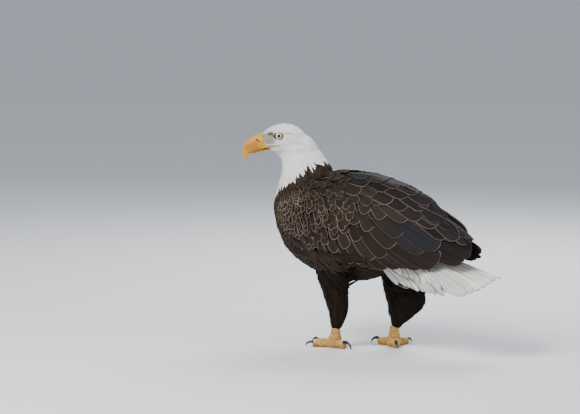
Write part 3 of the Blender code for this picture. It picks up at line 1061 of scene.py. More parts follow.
# %% [markdown]
# ## The coat of the body
#
# Roots are thrown all over the skin at once. The width of the feather at each place sets how far apart
# they stand. The wings' outer sides take larger feathers later, so their own small coverts stop there,
# and the face stays open round the eyes and the bill.


# %% Roots all over the body
def spacing_at(places, facing):
    """Distance between roots: closer on the white head and neck than on the body."""
    width = combed(places, facing)[2]
    return width * (0.56 + 0.12 * smooth_step(width, 9, 13))


spacing_here = spacing_at(triangle.mean(1), triangle_facing)
places, picked = thrown(1 / spacing_here**2, 130000)
kept = thinned(places, spacing_here[picked])
places = evened(places[kept], spacing_here[picked][kept])
roots = read_skin(places)
lie, length, width = combed(roots["co"], roots["facing"])
roots |= {"lie": lie, "size": length * MM, "girth": width * MM}
print(len(places), "roots")


# %% Open places, and the wings' outer sides
COVERT_LINE = (  # z and the furthest y for the tip of a small covert
    (205, -110), (222, -95), (240, -62), (252, -25), (275, 14), (300, 40), (325, 58), (345, 76), (362, 92),
)
OFF_WING = -999  # stands in for the distance of a feather that isn't on a wing's outer side


def subset(roots, chosen):
    return {name: values[chosen] for name, values in roots.items()}


def reached(roots, share=1.0):
    """Where a share of each feather's length ends, in the bird's millimetres."""
    return (roots["co"] + roots["lie"] * roots["size"][:, None] * share - ORIGIN) / MM


def behind_coverts(roots):
    """How far the tips on the wings' outer sides reach behind the line of the small coverts."""
    tips = reached(roots)
    outer = of_part(roots["part"], *WINGS) & (tips[:, 2] < 366)
    outer &= roots["facing"][:, 0] * np.sign(tips[:, 0]) > -0.25
    limit = np.interp(tips[:, 2], *np.array(COVERT_LINE).T)
    return np.where(outer, tips[:, 1] - limit, OFF_WING)


def under_quills(roots):
    """True on the body where the wing's long feathers lie close over it."""
    x, y, z = reached(roots, 0.6).T
    return (y > -40) & (z > 196) & (z < 366) & (np.abs(x) > height_at(y, z) - 9)


SCAPULAR_LINE = (  # y and z
    (20, 420), (40, 383), (65, 377), (110, 362), (165, 338), (254, 285), (330, 240),
)


def under_scapulars(roots):
    """True on the back, above the line where the shoulder feathers end."""
    tips = reached(roots)
    above = tips[:, 2] > np.interp(tips[:, 1], *np.array(SCAPULAR_LINE).T) - 4
    above &= (tips[:, 1] > 20) & (tips[:, 2] > 240)
    valley = (tips[:, 1] > 20) & (tips[:, 2] > 225)
    where = roots["co"][valley]
    valley[valley] = np.linalg.norm(on_bridge(where)[0] - where, axis=1) > 4 * MM
    return above | valley


def from_lids(places):
    """Distance from the eye's axis, measured so that the edge of the lids lies at 9.2 all round."""
    ahead, _, up = in_head_axes(places).T
    return np.hypot(ahead / np.where(ahead > 0, 1.2, 1.1), up * np.where(up > 0, 1.1, 1.02))


ends = roots["co"] + roots["lie"] * roots["size"][:, None]
ahead, side, up = in_head_axes(roots["co"]).T
round_eye = (from_lids(roots["co"]) < 9.4) | (from_lids(ends) < 9.2)
round_eye &= np.abs(side) > 12
chin = (ahead > 13) & (up < -32.5)
under_bill = ahead > 40
bare = (round_eye | chin | under_bill) & of_part(roots["part"], "head")
wing_end = of_part(roots["part"], *WINGS) & ((roots["co"] - ORIGIN)[:, 1] > 195 * MM)
behind = behind_coverts(roots)
hidden = (behind > 0) | (under_quills(roots) & (behind == OFF_WING)) | under_scapulars(roots)
roots = subset(roots, ~(bare | wing_end | hidden))
print(len(roots["co"]), "roots after the bare places")

# %% [markdown]
# ## Pigments, and the coat in pieces
#
# White and dark feathers are told apart by where the tip of each one ends up, and the collar is made
# ragged by moving its line a little for each feather. Brown ones vary from feather to feather, and
# their rims are pale on the shoulders and faint below.


# %% Finish the roots' fields
def pigments(roots, dark, rim_strength, rim_width):
    """Fills in the colour fields of dark roots."""
    count = len(roots["co"])
    tone = chance.normal(1, 0.14, count).clip(0.6, 1.5)[:, None]
    warm = chance.random(count)[:, None]
    roots["pigment"] = np.array(dark) * tone * (1 + warm * np.array((0.25, 0.08, -0.05)))
    roots["fringe"] = rim_strength * chance.uniform(0.55, 1.0, count)
    roots["rim"] = rim_width / (roots["girth"] / MM / 2)
    return roots


def whites(roots):
    """White feathers, greyer between eye and bill, dusky and in painted shadow under the brow, with painted
    shade in folds.
    """
    count = len(roots["co"])
    tone = chance.normal(0.97, 0.03, count).clip(0.85, 1.03)[:, None]
    roots["pigment"] = np.array((0.86, 0.85, 0.82)) * tone
    ahead, _, up = in_head_axes(roots["co"] + roots["lie"] * roots["size"][:, None] * 0.6).T
    lore = smooth_step(ahead, 5, 13) * (1 - smooth_step(np.abs(up + 8), 9, 15))
    # In front of the eye under the brow the feathers darken: partly a dusky mark, partly painted shadow of
    # the brow.
    brow = hill(ahead, 18, 10) * hill(up, 4.8, 4.2) * 1.3
    # Lines over the ear and behind the eye are painted shade in folds of the head's feathers.
    ear_fold_shade = hill(ahead, -48, 11) * hill(up - ahead * 0.1, -13.2, 1.8)
    temple_line_shade = hill(ahead, -22, 9) * hill(up, 5, 1.8)
    for share, colour in (
        (lore * 0.9, (0.27, 0.26, 0.20)), (brow, (0.14, 0.115, 0.075)),
        ((ear_fold_shade + temple_line_shade) * 0.95, (0.30, 0.29, 0.26)),
    ):
        share = (share * chance.uniform(0.75, 1.0, count)).clip(0, 1)[:, None]
        roots["pigment"] = roots["pigment"] * (1 - share) + np.array(colour) * share
    roots["fringe"] = np.zeros(count)
    roots["rim"] = np.full(count, 0.2)
    return roots


def completed(roots, lift, patch=0.003, sway=0.14, jitter=0.12):
    """Fills in the fields that every root has."""
    count = len(roots["co"])
    side = np.cross(roots["facing"], roots["lie"])
    turn = chance.normal(0, sway, count)[:, None]
    roots["lie"] = roots["lie"] * np.cos(turn) + side * np.sin(turn)
    roots["size"] = roots["size"] * chance.uniform(1 - jitter, 1 + jitter, count)
    roots["shape"] = chance.integers(0, VARIANTS, count)
    roots["chance"] = chance.random(count)
    roots["lift"] = lift * chance.uniform(0.8, 1.15, count)
    roots["stack"] = chance.uniform(0.2, 0.8, count) * MM
    roots["patch"] = np.full(count, patch)
    roots["roll"] = np.zeros(count)
    return roots


DARK = (0.034, 0.026, 0.021)
HEAD_GIRTH = 5.6  # white feathers narrower than this make the coat of the head
BLADES_FROM = 85  # from this y on, loose blades are laid under the tail instead
small = roots["girth"] < 6 * MM
lift = np.where(small, roots["girth"] * 0.13, np.clip(roots["girth"] * 0.24, 0.6 * MM, 3.6 * MM))
roots = completed(roots, lift)
roots["stack"][small] *= 0.6
filling = roots["depth"] * MM - roots["lift"] - 0.8 * MM
roots["stack"] += np.clip(filling, 0, None) * 0.8
behind = behind_coverts(roots)
roots["stack"] += smooth_step(behind, -75, -5) * 2.4 * MM
tips = reached(roots)
ragged = tips + chance.normal(0, 2.2, (len(tips), 1)) * np.array((0, 0, 1))
white = whiteness(ragged, roots["part"]) > 0.5
thigh = of_part(roots["part"], *THIGHS)
local = (roots["co"] - ORIGIN) / MM
under_tail = of_part(roots["part"], "undertail_coverts")
white &= ~(under_tail & (local[:, 1] > BLADES_FROM))
head = white & (roots["girth"] < HEAD_GIRTH * MM)
on_wing = behind > OFF_WING
print("white", int(white.sum()), "head", int(head.sum()), "thigh", int(thigh.sum()))

# %% Lay the coat
coats = (  # name, roots, kind, slot, strength and width (mm) of the rim
    ("head_feathers", head, "hackle", "white_feather", 0, 0),
    ("neck_feathers", white & ~head, "hackle", "white_feather", 0, 0),
    ("body_feathers", ~white & ~thigh & ~on_wing & ~under_tail, "contour", "brown_feather", 0.42, 1.2),
    ("small_coverts", ~white & ~thigh & on_wing, "covert", "brown_feather", 1.0, 1.5),
    ("thigh_feathers", thigh, "loose", "dark_feather", 0.10, 0.8),
)
for name, chosen, kind, slot, strength, rim in coats:
    some = subset(roots, chosen)
    if kind == "loose":
        some["size"], some["girth"] = some["size"] * 1.4, some["girth"] * 1.25
        some["lift"] = some["lift"] * chance.uniform(0.8, 2.6, len(some["lift"]))
    if slot == "white_feather":
        whites(some)
    else:
        pigments(some, np.array(DARK) * (0.65 if kind == "loose" else 1), strength, rim)
        height = (some["co"][:, 2] - body_origin.z) / MM
        some["fringe"] *= 1 - 0.6 * smooth_step(height, 345, 380)
        some["fringe"] *= 0.3 + 0.7 * smooth_step(height, 200, 232)
    finished(lay_feathers(name, some, kind, skin, finishes[kind]), slot)

# %% [markdown]
# ## Cutting the wing's flesh short
#
# A folded wing ends in nothing but feathers. The flesh is cut off there and capped, and the long
# feathers laid in the next steps make the end of the wing.

# %% Cut the skin
WING_CUT, CUT_MARGIN = 222, 30  # where the wings end, and how far ahead of it their faces are looked at


def cut_short(piece, y):
    """Cuts the wings off behind the given y and closes the cuts."""
    on_wing = of_part(skin_part, *WINGS)
    shape = bmesh.new()
    shape.from_mesh(piece.data)
    near = on_body(0, y - CUT_MARGIN, 0).y
    wing = {v for v in shape.verts if on_wing[v.index] and v.co.y > near}
    faces = [face for face in shape.faces if all(v in wing for v in face.verts)]
    edges = {edge for face in faces for edge in face.edges}
    geometry = list(wing) + list(edges) + faces
    bmesh.ops.bisect_plane(
        shape, geom=geometry, plane_co=on_body(0, y, 0), plane_no=(0, 1, 0), clear_outer=True)
    open_edges = [edge for edge in shape.edges if edge.is_boundary]
    bmesh.ops.holes_fill(shape, edges=open_edges, sides=0)
    left_open = sum(edge.is_boundary for edge in shape.edges)
    shape.to_mesh(piece.data)
    shape.free()
    print("wings cut; open edges before and after:", len(open_edges), left_open)


cut_short(skin, WING_CUT)
skin.data.shade_smooth()
finished(skin, "brown_feather", *FLESH)

# %% [markdown]
# ## Rows of wing feathers
#
# A wing's large feathers grow in rows, and each row has its place, slant and size. A row is given by
# the tips of a few of its feathers; the ones between follow by sliding along it. Each row lies on the
# one before: flight feathers first, then the greater coverts, the medians and the scapulars on top.

# %% The rows
WING_ROWS = {  # count, stack (mm) at both ends, rim strength, colour, keys of tips
    # a key is y, z, degrees down, length, width
    "primaries": (5, 0.2, 1.4, 0.15, (0.020, 0.018, 0.019), (
        (293, 219, 20, 220, 30), (307, 221, 21, 224, 32), (315, 230, 23, 228, 33), (321, 243, 25, 228, 32))),
    "secondaries": (8, 0.4, 2.2, 0.38, (0.034, 0.027, 0.025), (
        (40, 204, 44, 115, 40), (95, 205, 40, 140, 46), (150, 208, 35, 160, 52), (206, 215, 30, 175, 60),
        (250, 216, 26, 185, 68))),
    # The tertials' bluish colour paints the sheen of light on their glossy vanes.
    "tertials": (4, 2.4, 3.8, 0.4, (0.030, 0.030, 0.036), (
        (216, 250, 28, 150, 52), (261, 252, 27, 175, 56), (258, 276, 27, 180, 40), (284, 274, 26, 190, 48))),
    "greater": (9, 1.8, 3.2, 0.75, (0.036, 0.029, 0.026), (
        (-25, 211, 64, 60, 28), (25, 208, 56, 78, 33), (67, 213, 50, 88, 38), (100, 225, 45, 98, 42),
        (128, 236, 41, 104, 46), (150, 260, 36, 112, 50), (161, 290, 30, 112, 50), (162, 314, 27, 105, 46))),
    "median": (7, 3.0, 3.8, 0.95, (0.040, 0.031, 0.026), (
        (-48, 221, 68, 46, 24), (-5, 231, 64, 50, 27), (43, 253, 58, 56, 30), (77, 278, 52, 60, 33),
        (97, 304, 46, 62, 35), (120, 322, 40, 62, 36), (138, 338, 32, 60, 34))),
    "upper_median": (7, 3.6, 4.4, 0.95, (0.042, 0.033, 0.028), (
        (-66, 238, 70, 40, 20), (-22, 252, 67, 44, 23), (20, 275, 62, 48, 26), (50, 300, 56, 52, 29),
        (72, 325, 48, 54, 31), (95, 343, 38, 56, 32))),
}
ROLL = 0.05  # each feather leans on the next like a shingle, with its outer edge up


def along_row(keys, count):
    """Slides along a row of keys, evenly by the distance between tips."""
    keys = np.array(keys, float)
    steps = np.linalg.norm(np.diff(keys[:, :3], axis=0), axis=1)
    place = np.concatenate([[0], np.cumsum(steps)]) / steps.sum()
    return np.array([np.interp(np.linspace(0, 1, count), place, column) for column in keys.T]).T


ATLAS_SHARE = 0.92  # how much of its square on the bake map a long feather fills


def atlas(roots):
    """Gives each long feather a square of its own on the bake map."""
    count = len(roots["co"])
    side = math.ceil(math.sqrt(count))
    number = np.arange(count)
    roots["root_map"] = np.column_stack([number % side + 0.5, number // side + 0.5, 0 * number]) / side
    roots["patch"] = np.full(count, ATLAS_SHARE / side)
    return roots


def wing_row(name, side):
    count, stack_start, stack_end, strength, colour, keys = WING_ROWS[name]
    y, z, down, length, width = along_row(keys, count).T
    down = np.radians(down)
    y0, z0 = y - np.cos(down) * length, z + np.sin(down) * length
    tip = np.column_stack([height_at(y, z) * side, y, z])
    root = np.column_stack([height_at(y0, z0) * side, y0, z0])
    lie = tip - root
    lie /= np.linalg.norm(lie, axis=1)[:, None]
    facing = np.cross(np.cross(lie, (side, 0, 0)), lie)
    roots = {
        "co": root * MM + ORIGIN, "facing": facing, "lie": lie,
        "size": length * MM, "girth": width * MM,
    }
    roots = completed(roots, np.full(count, 0.9 * MM), sway=0.02, jitter=0.02)
    roots["stack"] = np.linspace(stack_start, stack_end, count) * MM
    roots["shape"] = np.arange(count) % VARIANTS
    roots["roll"] = np.full(count, ROLL * side)
    return pigments(roots, colour, strength, 1.9)


def joined_roots(several):
    return {name: np.concatenate([some[name] for some in several]) for name in several[0]}


for side, word in SIDES.items():
    rows = atlas(joined_roots([wing_row(name, side) for name in WING_ROWS]))
    feathers = lay_feathers("wing_quills_" + word, rows, "quill", sheets[side], finishes["quill"], 0.014)
    finished(feathers, "brown_feather")

# %% [markdown]
# ## The tail
#
# Twelve long feathers make the tail. They fan out from one root, the middle pair on top and each outer
# one a little lower, and the fan is arched like a shallow roof. Each one leans on its neighbour, so the
# white shows a step and a line where one ends. Under it, free white coverts hang in rows like blades.

# %% Tail feathers
TAIL_ROOT, TAIL_LENGTH, TAIL_SLOPE, TAIL_FAN = (0, 92, 266), 290, math.radians(16.6), math.radians(17)
TAIL_ARCH, TAIL_HALF, OUTER_SHARE = 37, 19, 0.17
TAIL_ROLL = 0.16  # the left side hangs a little lower
TAIL_COUNT, TAIL_REACH = 12, 0.19  # feathers, and half the width of one as a share of the half fan


def on_fan(across, share):
    """A place on the tail's fan: across from -1 to 1, share from root to tip."""
    turn = TAIL_FAN * across
    reach = share * TAIL_LENGTH * (1 - OUTER_SHARE * across**2)
    arch = TAIL_ARCH * np.abs(across) ** 1.5 * (0.2 + 0.8 * share**1.3)
    to_side = TAIL_HALF * across + reach * np.sin(turn)
    return np.stack([
        to_side,
        TAIL_ROOT[1] + reach * math.cos(TAIL_SLOPE) * np.cos(turn),
        TAIL_ROOT[2] - reach * math.sin(TAIL_SLOPE) - arch - to_side * TAIL_ROLL,
    ], axis=-1)


def flat_feather(number):
    """The flat quill as places across and along, with the rise of its shaft in mm."""
    mesh = feather_kinds["quill"].objects[number % VARIANTS].data
    rise = numbers(mesh.attributes["rise"].data, "value", 1)[:, 0] / MM
    across, along, _ = coordinates(mesh).T
    return across, along, rise, mesh


def fan_feather(number):
    """One tail feather, laid on the fan."""
    across, along, rise, mesh = flat_feather(number)
    from_middle = number - (TAIL_COUNT - 1) / 2
    centre = from_middle / (TAIL_COUNT / 2 - 0.5) * (1 - TAIL_REACH)
    place = centre + across * 2 * TAIL_REACH * (1 - 0.12 * (abs(from_middle) > 5))
    share = 0.02 + along * chance.uniform(0.95, 0.985) - 0.03 * across * np.sign(from_middle) * along**3
    points = on_fan(place, share)
    side = on_fan(place + 0.01, share) - on_fan(place - 0.01, share)
    outward = np.cross(side, on_fan(place, share + 0.01) - on_fan(place, share - 0.01))
    outward /= np.linalg.norm(outward, axis=1)[:, None]
    lean = -across * np.sign(from_middle) * 2.4
    lift = 1.6 - abs(from_middle) * 0.75 + 0.4 * (from_middle > 0) + lean + rise * 1.3
    return points + outward * lift[:, None], mesh


BLADE_BOW, BLADE_CUP = 3.0, 1.75  # millimetres that a blade bows along itself and cups across


def blade(number, root, tip, outward, width, layer):
    """One free feather from root to tip, with its flat side facing outward."""
    across, along, rise, mesh = flat_feather(number)
    reach = tip - root
    side = np.cross(reach, outward)
    side /= np.linalg.norm(side)
    outward = np.cross(side, reach) / np.linalg.norm(reach)
    height = layer + rise * 1.2 + BLADE_BOW * np.sin(math.pi * along) - BLADE_CUP * (2 * across) ** 2
    points = root + along[:, None] * reach + (across * width)[:, None] * side + height[:, None] * outward
    return points, mesh


# Coverts under the tail, to one side: their number, then keys of root, tip, outward and width.
UNDER_BLADES = (
    (12, ((20, 62, 212), (34, 132, 164), (0.9, 0, -0.45), 17),
     ((22, 96, 208), (38, 194, 151), (0.85, 0, -0.5), 19),
     ((24, 150, 215), (70, 278, 148), (0.8, 0, -0.6), 24)),
    (7, ((8, 80, 178), (12, 140, 154), (0.15, 0, -1), 30), ((8, 118, 172), (12, 200, 150), (0.2, 0, -1), 32),
     ((12, 170, 180), (24, 258, 156), (0.3, 0, -1), 34)),
    (10, ((26, 66, 232), (46, 150, 188), (1, 0, -0.3), 18),
     ((24, 118, 232), (54, 224, 172), (1, 0, -0.35), 22),
     ((22, 166, 226), (76, 284, 158), (0.9, 0, -0.5), 24)),
)
OVER_BLADES = (  # the same for the coverts over the tail's root
    (4, ((3, 104, 274), (4, 196, 250), (0, 0.2, 1), 34),
     ((28, 100, 260), (36, 184, 232), (0.5, 0.1, 1), 28)),
    (4, ((4, 140, 262), (5, 240, 238), (0, 0.2, 1), 34),
     ((28, 136, 250), (38, 226, 222), (0.5, 0.1, 1), 28)),
)


def free_blades():
    made = []
    for count, *keys in UNDER_BLADES + OVER_BLADES:
        table = np.array([(*root, *tip, *outward, width) for root, tip, outward, width in keys], float)
        for place in np.linspace(0, 1, count):
            row = np.array([np.interp(place, np.linspace(0, 1, len(keys)), column) for column in table.T])
            row[3:6] += chance.normal(0, 1.6, 3)
            for side in SIDES:
                mirror = np.array((side, 1, 1))
                root, tip, outward = row[:3] * mirror, row[3:6] * mirror, row[6:9] * mirror
                made.append(blade(len(made), root, tip, outward, row[9], (1 - place) * 4))
    return made


def gathered(name, feathers):
    """Joins feathers given as points and flat mesh, each with a square of its own on the bake map."""
    whole = bmesh.new()
    squares = math.ceil(math.sqrt(len(feathers)))
    for number, (points, flat) in enumerate(feathers):
        copy = flat.copy()
        move_vertices(copy, points * MM + ORIGIN)
        cell = (np.array((number % squares, number // squares)) + 0.04) / squares
        spots = numbers(flat.uv_layers["vane"].data, "uv", 2) * ATLAS_SHARE / squares + cell
        copy.uv_layers.new(name=SKIN_MAP).data.foreach_set("uv", spots.ravel())
        write_attribute(copy, "chance", np.full(len(points), number * 0.37 % 1))
        whole.from_mesh(copy)
    bmesh.ops.recalc_face_normals(whole, faces=whole.faces)
    return as_mesh(name, whole)


tail_finish = plumage("quill", 0.6, 0.16, 0.72)
fan = [fan_feather(number) for number in range(TAIL_COUNT)]
tail = new_object("tail_feathers", gathered("tail_feathers", fan + free_blades()), tail_finish)
count = len(tail.data.vertices)
each = numbers(tail.data.attributes["chance"].data, "value", 1)
worn = 0.88 + 0.12 * np.cos(each * 40)
buff = np.array((0.84, 0.83, 0.80)) * worn * (1 - (each > 0.7) * np.array((0.04, 0.08, 0.16)))
write_attribute(tail.data, "pigment", buff, "FLOAT_VECTOR")
# A pale brown rim on each white tail feather stands for buff stains along its edges and also paints shade
# between the overlapping feathers.
write_attribute(tail.data, "fringe", np.full(count, 0.5))
write_attribute(tail.data, "rim", np.full(count, 0.1))
shown_by_vane(tail)
finished(tail, "white_feather", "tail")

# %% [markdown]
# ## Scapulars and flanks
#
# Long dark feathers grow on the shoulder blades and hide the joint of wing and back. They cross the
# valleys there, so they lie on the bridge. Front ones lie over rear ones, and each row's outer edge is
# up. Loose narrow feathers of the flanks come from the breast and cover the wing's lower edge.

# %% Rows on the bridge
BRIDGE_ROWS = {  # count, stack at both ends, rim strength, colour, keys of tips
    # a key is x, y, z, degrees down, degrees inwards, length, width
    "lower": (7, 1.4, 1.8, 0.65, (0.026, 0.022, 0.022), (
        (63, 40, 380, 10, 3, 72, 32), (56, 70, 379, 15, 5, 84, 36), (47, 110, 362, 22, 6, 98, 40),
        (41, 165, 335, 25, 7, 110, 42), (33, 215, 306, 27, 7, 118, 42), (24, 260, 280, 27, 7, 125, 40))),
    "middle": (6, 2.0, 2.6, 0.5, (0.022, 0.020, 0.022), (
        (42, 50, 398, 6, 3, 70, 38), (34, 90, 390, 10, 5, 84, 46), (28, 135, 374, 18, 6, 96, 50),
        (24, 180, 350, 26, 6, 104, 52), (20, 235, 314, 28, 5, 112, 46), (16, 285, 280, 28, 3, 112, 40))),
    "upper": (8, 2.6, 3.4, 0.35, (0.025, 0.022, 0.023), (
        (20, 36, 408, 2, 2, 60, 34), (14, 66, 404, 6, 3, 72, 42), (11, 105, 394, 12, 4, 84, 46),
        (9, 150, 374, 22, 4, 92, 48), (9, 205, 340, 28, 3, 98, 48), (8, 262, 300, 28, 2, 100, 46),
        (7, 306, 274, 28, 1, 100, 42))),
}
FLANK_ROWS = (
    (16, 5.0, 3.0, 0.12, (0.046, 0.034, 0.027), (
        (72, -128, 226, 48, -6, 40, 11), (84, -80, 206, 40, -4, 52, 13), (88, -20, 194, 30, 0, 66, 15),
        (84, 40, 190, 26, 4, 76, 16), (78, 96, 196, 24, 4, 78, 16))),
    (16, 4.0, 2.0, 0.12, (0.040, 0.029, 0.023), (
        (64, -140, 210, 45, -6, 42, 11), (76, -90, 190, 38, -4, 52, 13), (80, -25, 180, 28, 0, 64, 15),
        (76, 35, 178, 24, 4, 72, 16), (70, 92, 184, 20, 4, 74, 16))),
)


def bridge_roots(keys, side):
    """Roots on the bridge for feathers whose tips and slants are given."""
    x, y, z, down, inward, length, width = keys.T
    down, inward = np.radians(down), np.radians(inward)
    level = np.cos(down)
    aim = np.column_stack([-side * np.sin(inward) * level, np.cos(inward) * level, -np.sin(down)])
    tip = np.column_stack([x * side, y, z])
    ends = [place * MM + ORIGIN for place in (tip - aim * length[:, None], tip)]
    (start, _), (end, _) = on_bridge(ends[0]), on_bridge(ends[1])
    lie = end - start
    lie /= np.linalg.norm(lie, axis=1)[:, None]
    facing = on_bridge((start + end) / 2)[1]
    roots = {"co": start, "facing": facing, "lie": lie, "size": length * MM, "girth": width * MM}
    return completed(roots, np.full(len(x), 2.8 * MM), sway=0.05, jitter=0.05)


def bridge_row(row, side, rim=1.9, roll=ROLL):
    count, stack_start, stack_end, strength, colour, keys = row
    roots = bridge_roots(along_row(keys, count), side)
    roots["stack"] = np.linspace(stack_start, stack_end, count) * MM
    roots["roll"] = np.full(count, roll * side)
    return pigments(roots, colour, strength, rim)


shoulders = [bridge_row(row, side) for side in SIDES for row in BRIDGE_ROWS.values()]
for row in shoulders[len(BRIDGE_ROWS):]:
    row["stack"] += 0.9 * MM  # where the two sides meet, the right one lies on top
scapulars = atlas(joined_roots(shoulders))
finished(lay_feathers("scapulars", scapulars, "quill", bridge, finishes["quill"], 0.014), "brown_feather")
flanks = atlas(joined_roots([bridge_row(row, side, 0.8, 0) for side in SIDES for row in FLANK_ROWS]))
finished(lay_feathers("flank_feathers", flanks, "loose", bridge, finishes["loose"], 0.1), "brown_feather")
for helper in ("sheet_left", "sheet_right", "bridge"):
    bpy.data.objects.remove(bpy.data.objects[helper])

# %% [markdown]
# ## The bill
#
# An eagle's bill is a deep hooked horn. Its ridge runs almost level from the forehead and then curls
# down to the tip, while the cutting edge below is nearly straight up to the hook. So the table gives
# the ridge and the cutting edge as two curves, with the half width between them, and the sections are
# flattened ellipses that are narrow at the ridge and boxy at the edge. The root is the soft cere.


# %% Lofting on the head's axes
def smooth_table(table, count):
    """Rows between the rows of a table, on a curve through them all."""
    table = np.array(table, float)
    place = np.linspace(0, len(table) - 1, count)
    before = np.clip(place.astype(int), 0, len(table) - 2)
    share = (place - before)[:, None]
    padded = np.vstack([2 * table[0] - table[1], table, 2 * table[-1] - table[-2]])
    a, b, c, d = (padded[before + k] for k in range(4))
    return b + 0.5 * share * (c - a + share * (2 * a - 5 * b + 4 * c - d + share * (3 * (b - c) + d - a)))


def section(top, bottom, half_width, points, top_power, bottom_power):
    """A ring on the head's axes between a top and a bottom point, each ahead and up."""
    ring = []
    for step in range(points):
        turn = math.tau * step / points
        side, height = math.cos(turn), math.sin(turn)
        power = top_power if height > 0 else bottom_power
        side = math.copysign(abs(side) ** (2 / power), side) * half_width
        height = (math.copysign(abs(height) ** (2 / power), height) + 1) / 2
        ahead, up = (low + (high - low) * height for low, high in zip(bottom, top))
        ring.append(on_head(ahead, side, up))
    return ring


BILL_TABLE = (  # ridge ahead and up, cutting edge ahead and up, half width
    (28, -2, 24, -29, 16.0), (36, 2.2, 31, -31, 15.8), (44, 2.6, 38, -33, 15.2),
    (53, 1.0, 45.5, -35.5, 14.0), (61, -2.4, 52.5, -38.3, 12.8), (68.6, -7.6, 59.5, -41, 11.4),
    (75.5, -14.2, 65.5, -43, 9.6), (81, -22, 70, -44.3, 7.6), (84.6, -31, 72.6, -45.5, 5.8),
    (85.6, -39, 73.8, -48.5, 4.5), (84, -48, 74.4, -52.5, 3.2), (80.5, -55.5, 75, -56.8, 2.0),
    (76, -61.5, 75.4, -60.8, 0.8),
)
BILL_ROWS, BILL_POINTS = 64, 48
bill_rings = [
    section(row[:2], row[2:4], max(row[4], 0.3), BILL_POINTS, 1.75, 3.6)
    for row in smooth_table(BILL_TABLE, BILL_ROWS)
]
along_bill = np.repeat(np.linspace(0, 1, BILL_ROWS), BILL_POINTS)
height_on_bill = np.tile(np.sin(np.arange(BILL_POINTS) * math.tau / BILL_POINTS), BILL_ROWS)

# %% Upper bill
NOSTRIL = np.array(((54.5, -8.6), (45.5, -14.8)))  # ahead and up of its two ends


def nostril_depth(ahead, up):
    """1 along the middle of the nostril's slit and 0 away from it."""
    share, away = from_line(np.column_stack([ahead, up]), *NOSTRIL)
    return 1 - smooth_step(away / (1 - 0.5 * np.abs(share - 0.45)), 0.5, 1.7)


bill_finish = Finish("bill_horn", Specular_IOR_Level=0.5, Coat_Roughness=0.25)
bill = loft("upper_bill", bill_rings, bill_finish)
write_attribute(bill.data, "along", along_bill)
write_attribute(bill.data, "height", height_on_bill)
settle(modified(bill, "SUBSURF", levels=1, render_levels=1))
bill_places = coordinates(bill.data)
on_bill = in_head_axes(bill_places)
slit = nostril_depth(on_bill[:, 0], on_bill[:, 2])
swell = (1 - smooth_step(on_bill[:, 0] + 0.25 * on_bill[:, 2], 41, 47.5)) * 0.5
offset = (swell - slit * 2.2)[:, None] * MM
move_vertices(bill.data, bill_places + smooth_normals(bill.data) * offset)
write_attribute(bill.data, "slit", slit)
bill.data.shade_smooth()
print("bill", len(bill.data.polygons), "faces, nostril", int((slit > 0.5).sum()), "points")

# %% [markdown]
# ## The colour of horn
#
# The horn is deep yellow at the ridge and the hook, and duller on the sides, where it is mottled and
# scratched along its growth. The cere is a waxier yellow. The cutting edge darkens a little. All of it
# comes from how far along and how high on the bill a point lies, which the mesh keeps as attributes.


# %% Bill finish
def paint_bill(finish, ridge, side, edge_colour):
    along, height = finish.attribute("along"), finish.attribute("height")
    place = finish.place()
    mottle = finish.noise(place, 150.0, 4.0, 0.65)
    fine = finish.noise(place, 700.0, 3.0, 0.6)
    stretch = finish.join(along * 9.0, height * 26.0, 0.0)
    growth = finish.noise(stretch, 3.0, 3.0, 0.6)
    body = finish.mix(height.step(0.35, 0.95), side, ridge)
    body = finish.mix(along.step(0.50, 0.72), body, ridge)
    body = finish.mix(mottle.step(0.42, 0.70) * 0.55, body, edge_colour)
    low = height.step(-0.75, -0.2, 1.0, 0.0) * along.step(0.2, 0.8, 0.75, 0.2)
    body = finish.mix(low * growth.step(0.3, 0.7, 0.5, 1.0), body, edge_colour)
    cere = along.step(0.22, 0.30, 1.0, 0.0)
    body = finish.mix(cere * 0.6, body, (0.68, 0.35, 0.03, 1))
    body = finish.mix(fine.step(0.35, 0.75, 0.0, 0.12), body, (0.95, 0.80, 0.50, 1))
    # Inside the nostril the horn turns nearly black: painted shade of its hollow.
    inside = finish.attribute("slit").step(0.3, 0.8)
    finish.feed("Base Color", finish.mix(inside, body, (0.004, 0.003, 0.003, 1)))
    finish.feed("Roughness", mottle * 0.2 + cere * 0.15 + 0.26)
    finish.bump(growth * 0.5 + mottle * 0.35 + fine * 0.15, 0.0006, 0.6)


paint_bill(bill_finish, (0.74, 0.32, 0.008, 1), (0.47, 0.205, 0.034, 1), (0.34, 0.115, 0.014, 1))
finished(bill, "bill", "cere", "bill_upper")

# %% Lower bill
JAW_TABLE = (  # ahead, up of the top, up of the bottom, half width
    (14, -28, -34, 12.5), (22, -29, -35.5, 12.5), (30, -30, -37.2, 12), (38, -32, -38.8, 11.2),
    (46, -35, -40.8, 10.2), (54, -38, -42.4, 8.8), (61, -40.5, -43.5, 6.6), (65.5, -42, -43.4, 3.6),
)
JAW_ROWS, JAW_POINTS = 30, 28
jaw_rings = [
    section((ahead, top), (ahead, bottom), max(width, 0.4), JAW_POINTS, 3.5, 2.2)
    for ahead, top, bottom, width in smooth_table(JAW_TABLE, JAW_ROWS)
]
jaw = loft("lower_bill", jaw_rings, bill_finish)
write_attribute(jaw.data, "along", np.repeat(np.linspace(0.3, 0.6, JAW_ROWS), JAW_POINTS))
write_attribute(jaw.data, "height", np.full(JAW_ROWS * JAW_POINTS, -0.1))
write_attribute(jaw.data, "slit", np.zeros(JAW_ROWS * JAW_POINTS))
finished(jaw, "bill", "bill_lower")

# %% [markdown]
# ## The eyes
#
# The eyeball is a sphere with a slightly steeper cornea. The iris is pale straw yellow with fine rays,
# a thin dark outline and a small round pupil. Eyeball and cornea are one glossy surface, so the rings
# of colour are drawn by the distance from the eye's own axis.


# %% Eyeballs
EYE_RADIUS, PUPIL, IRIS = 12.5, 3.7, 8.0  # radii in millimetres
CORNEA = 0.7  # how far the cornea stands out


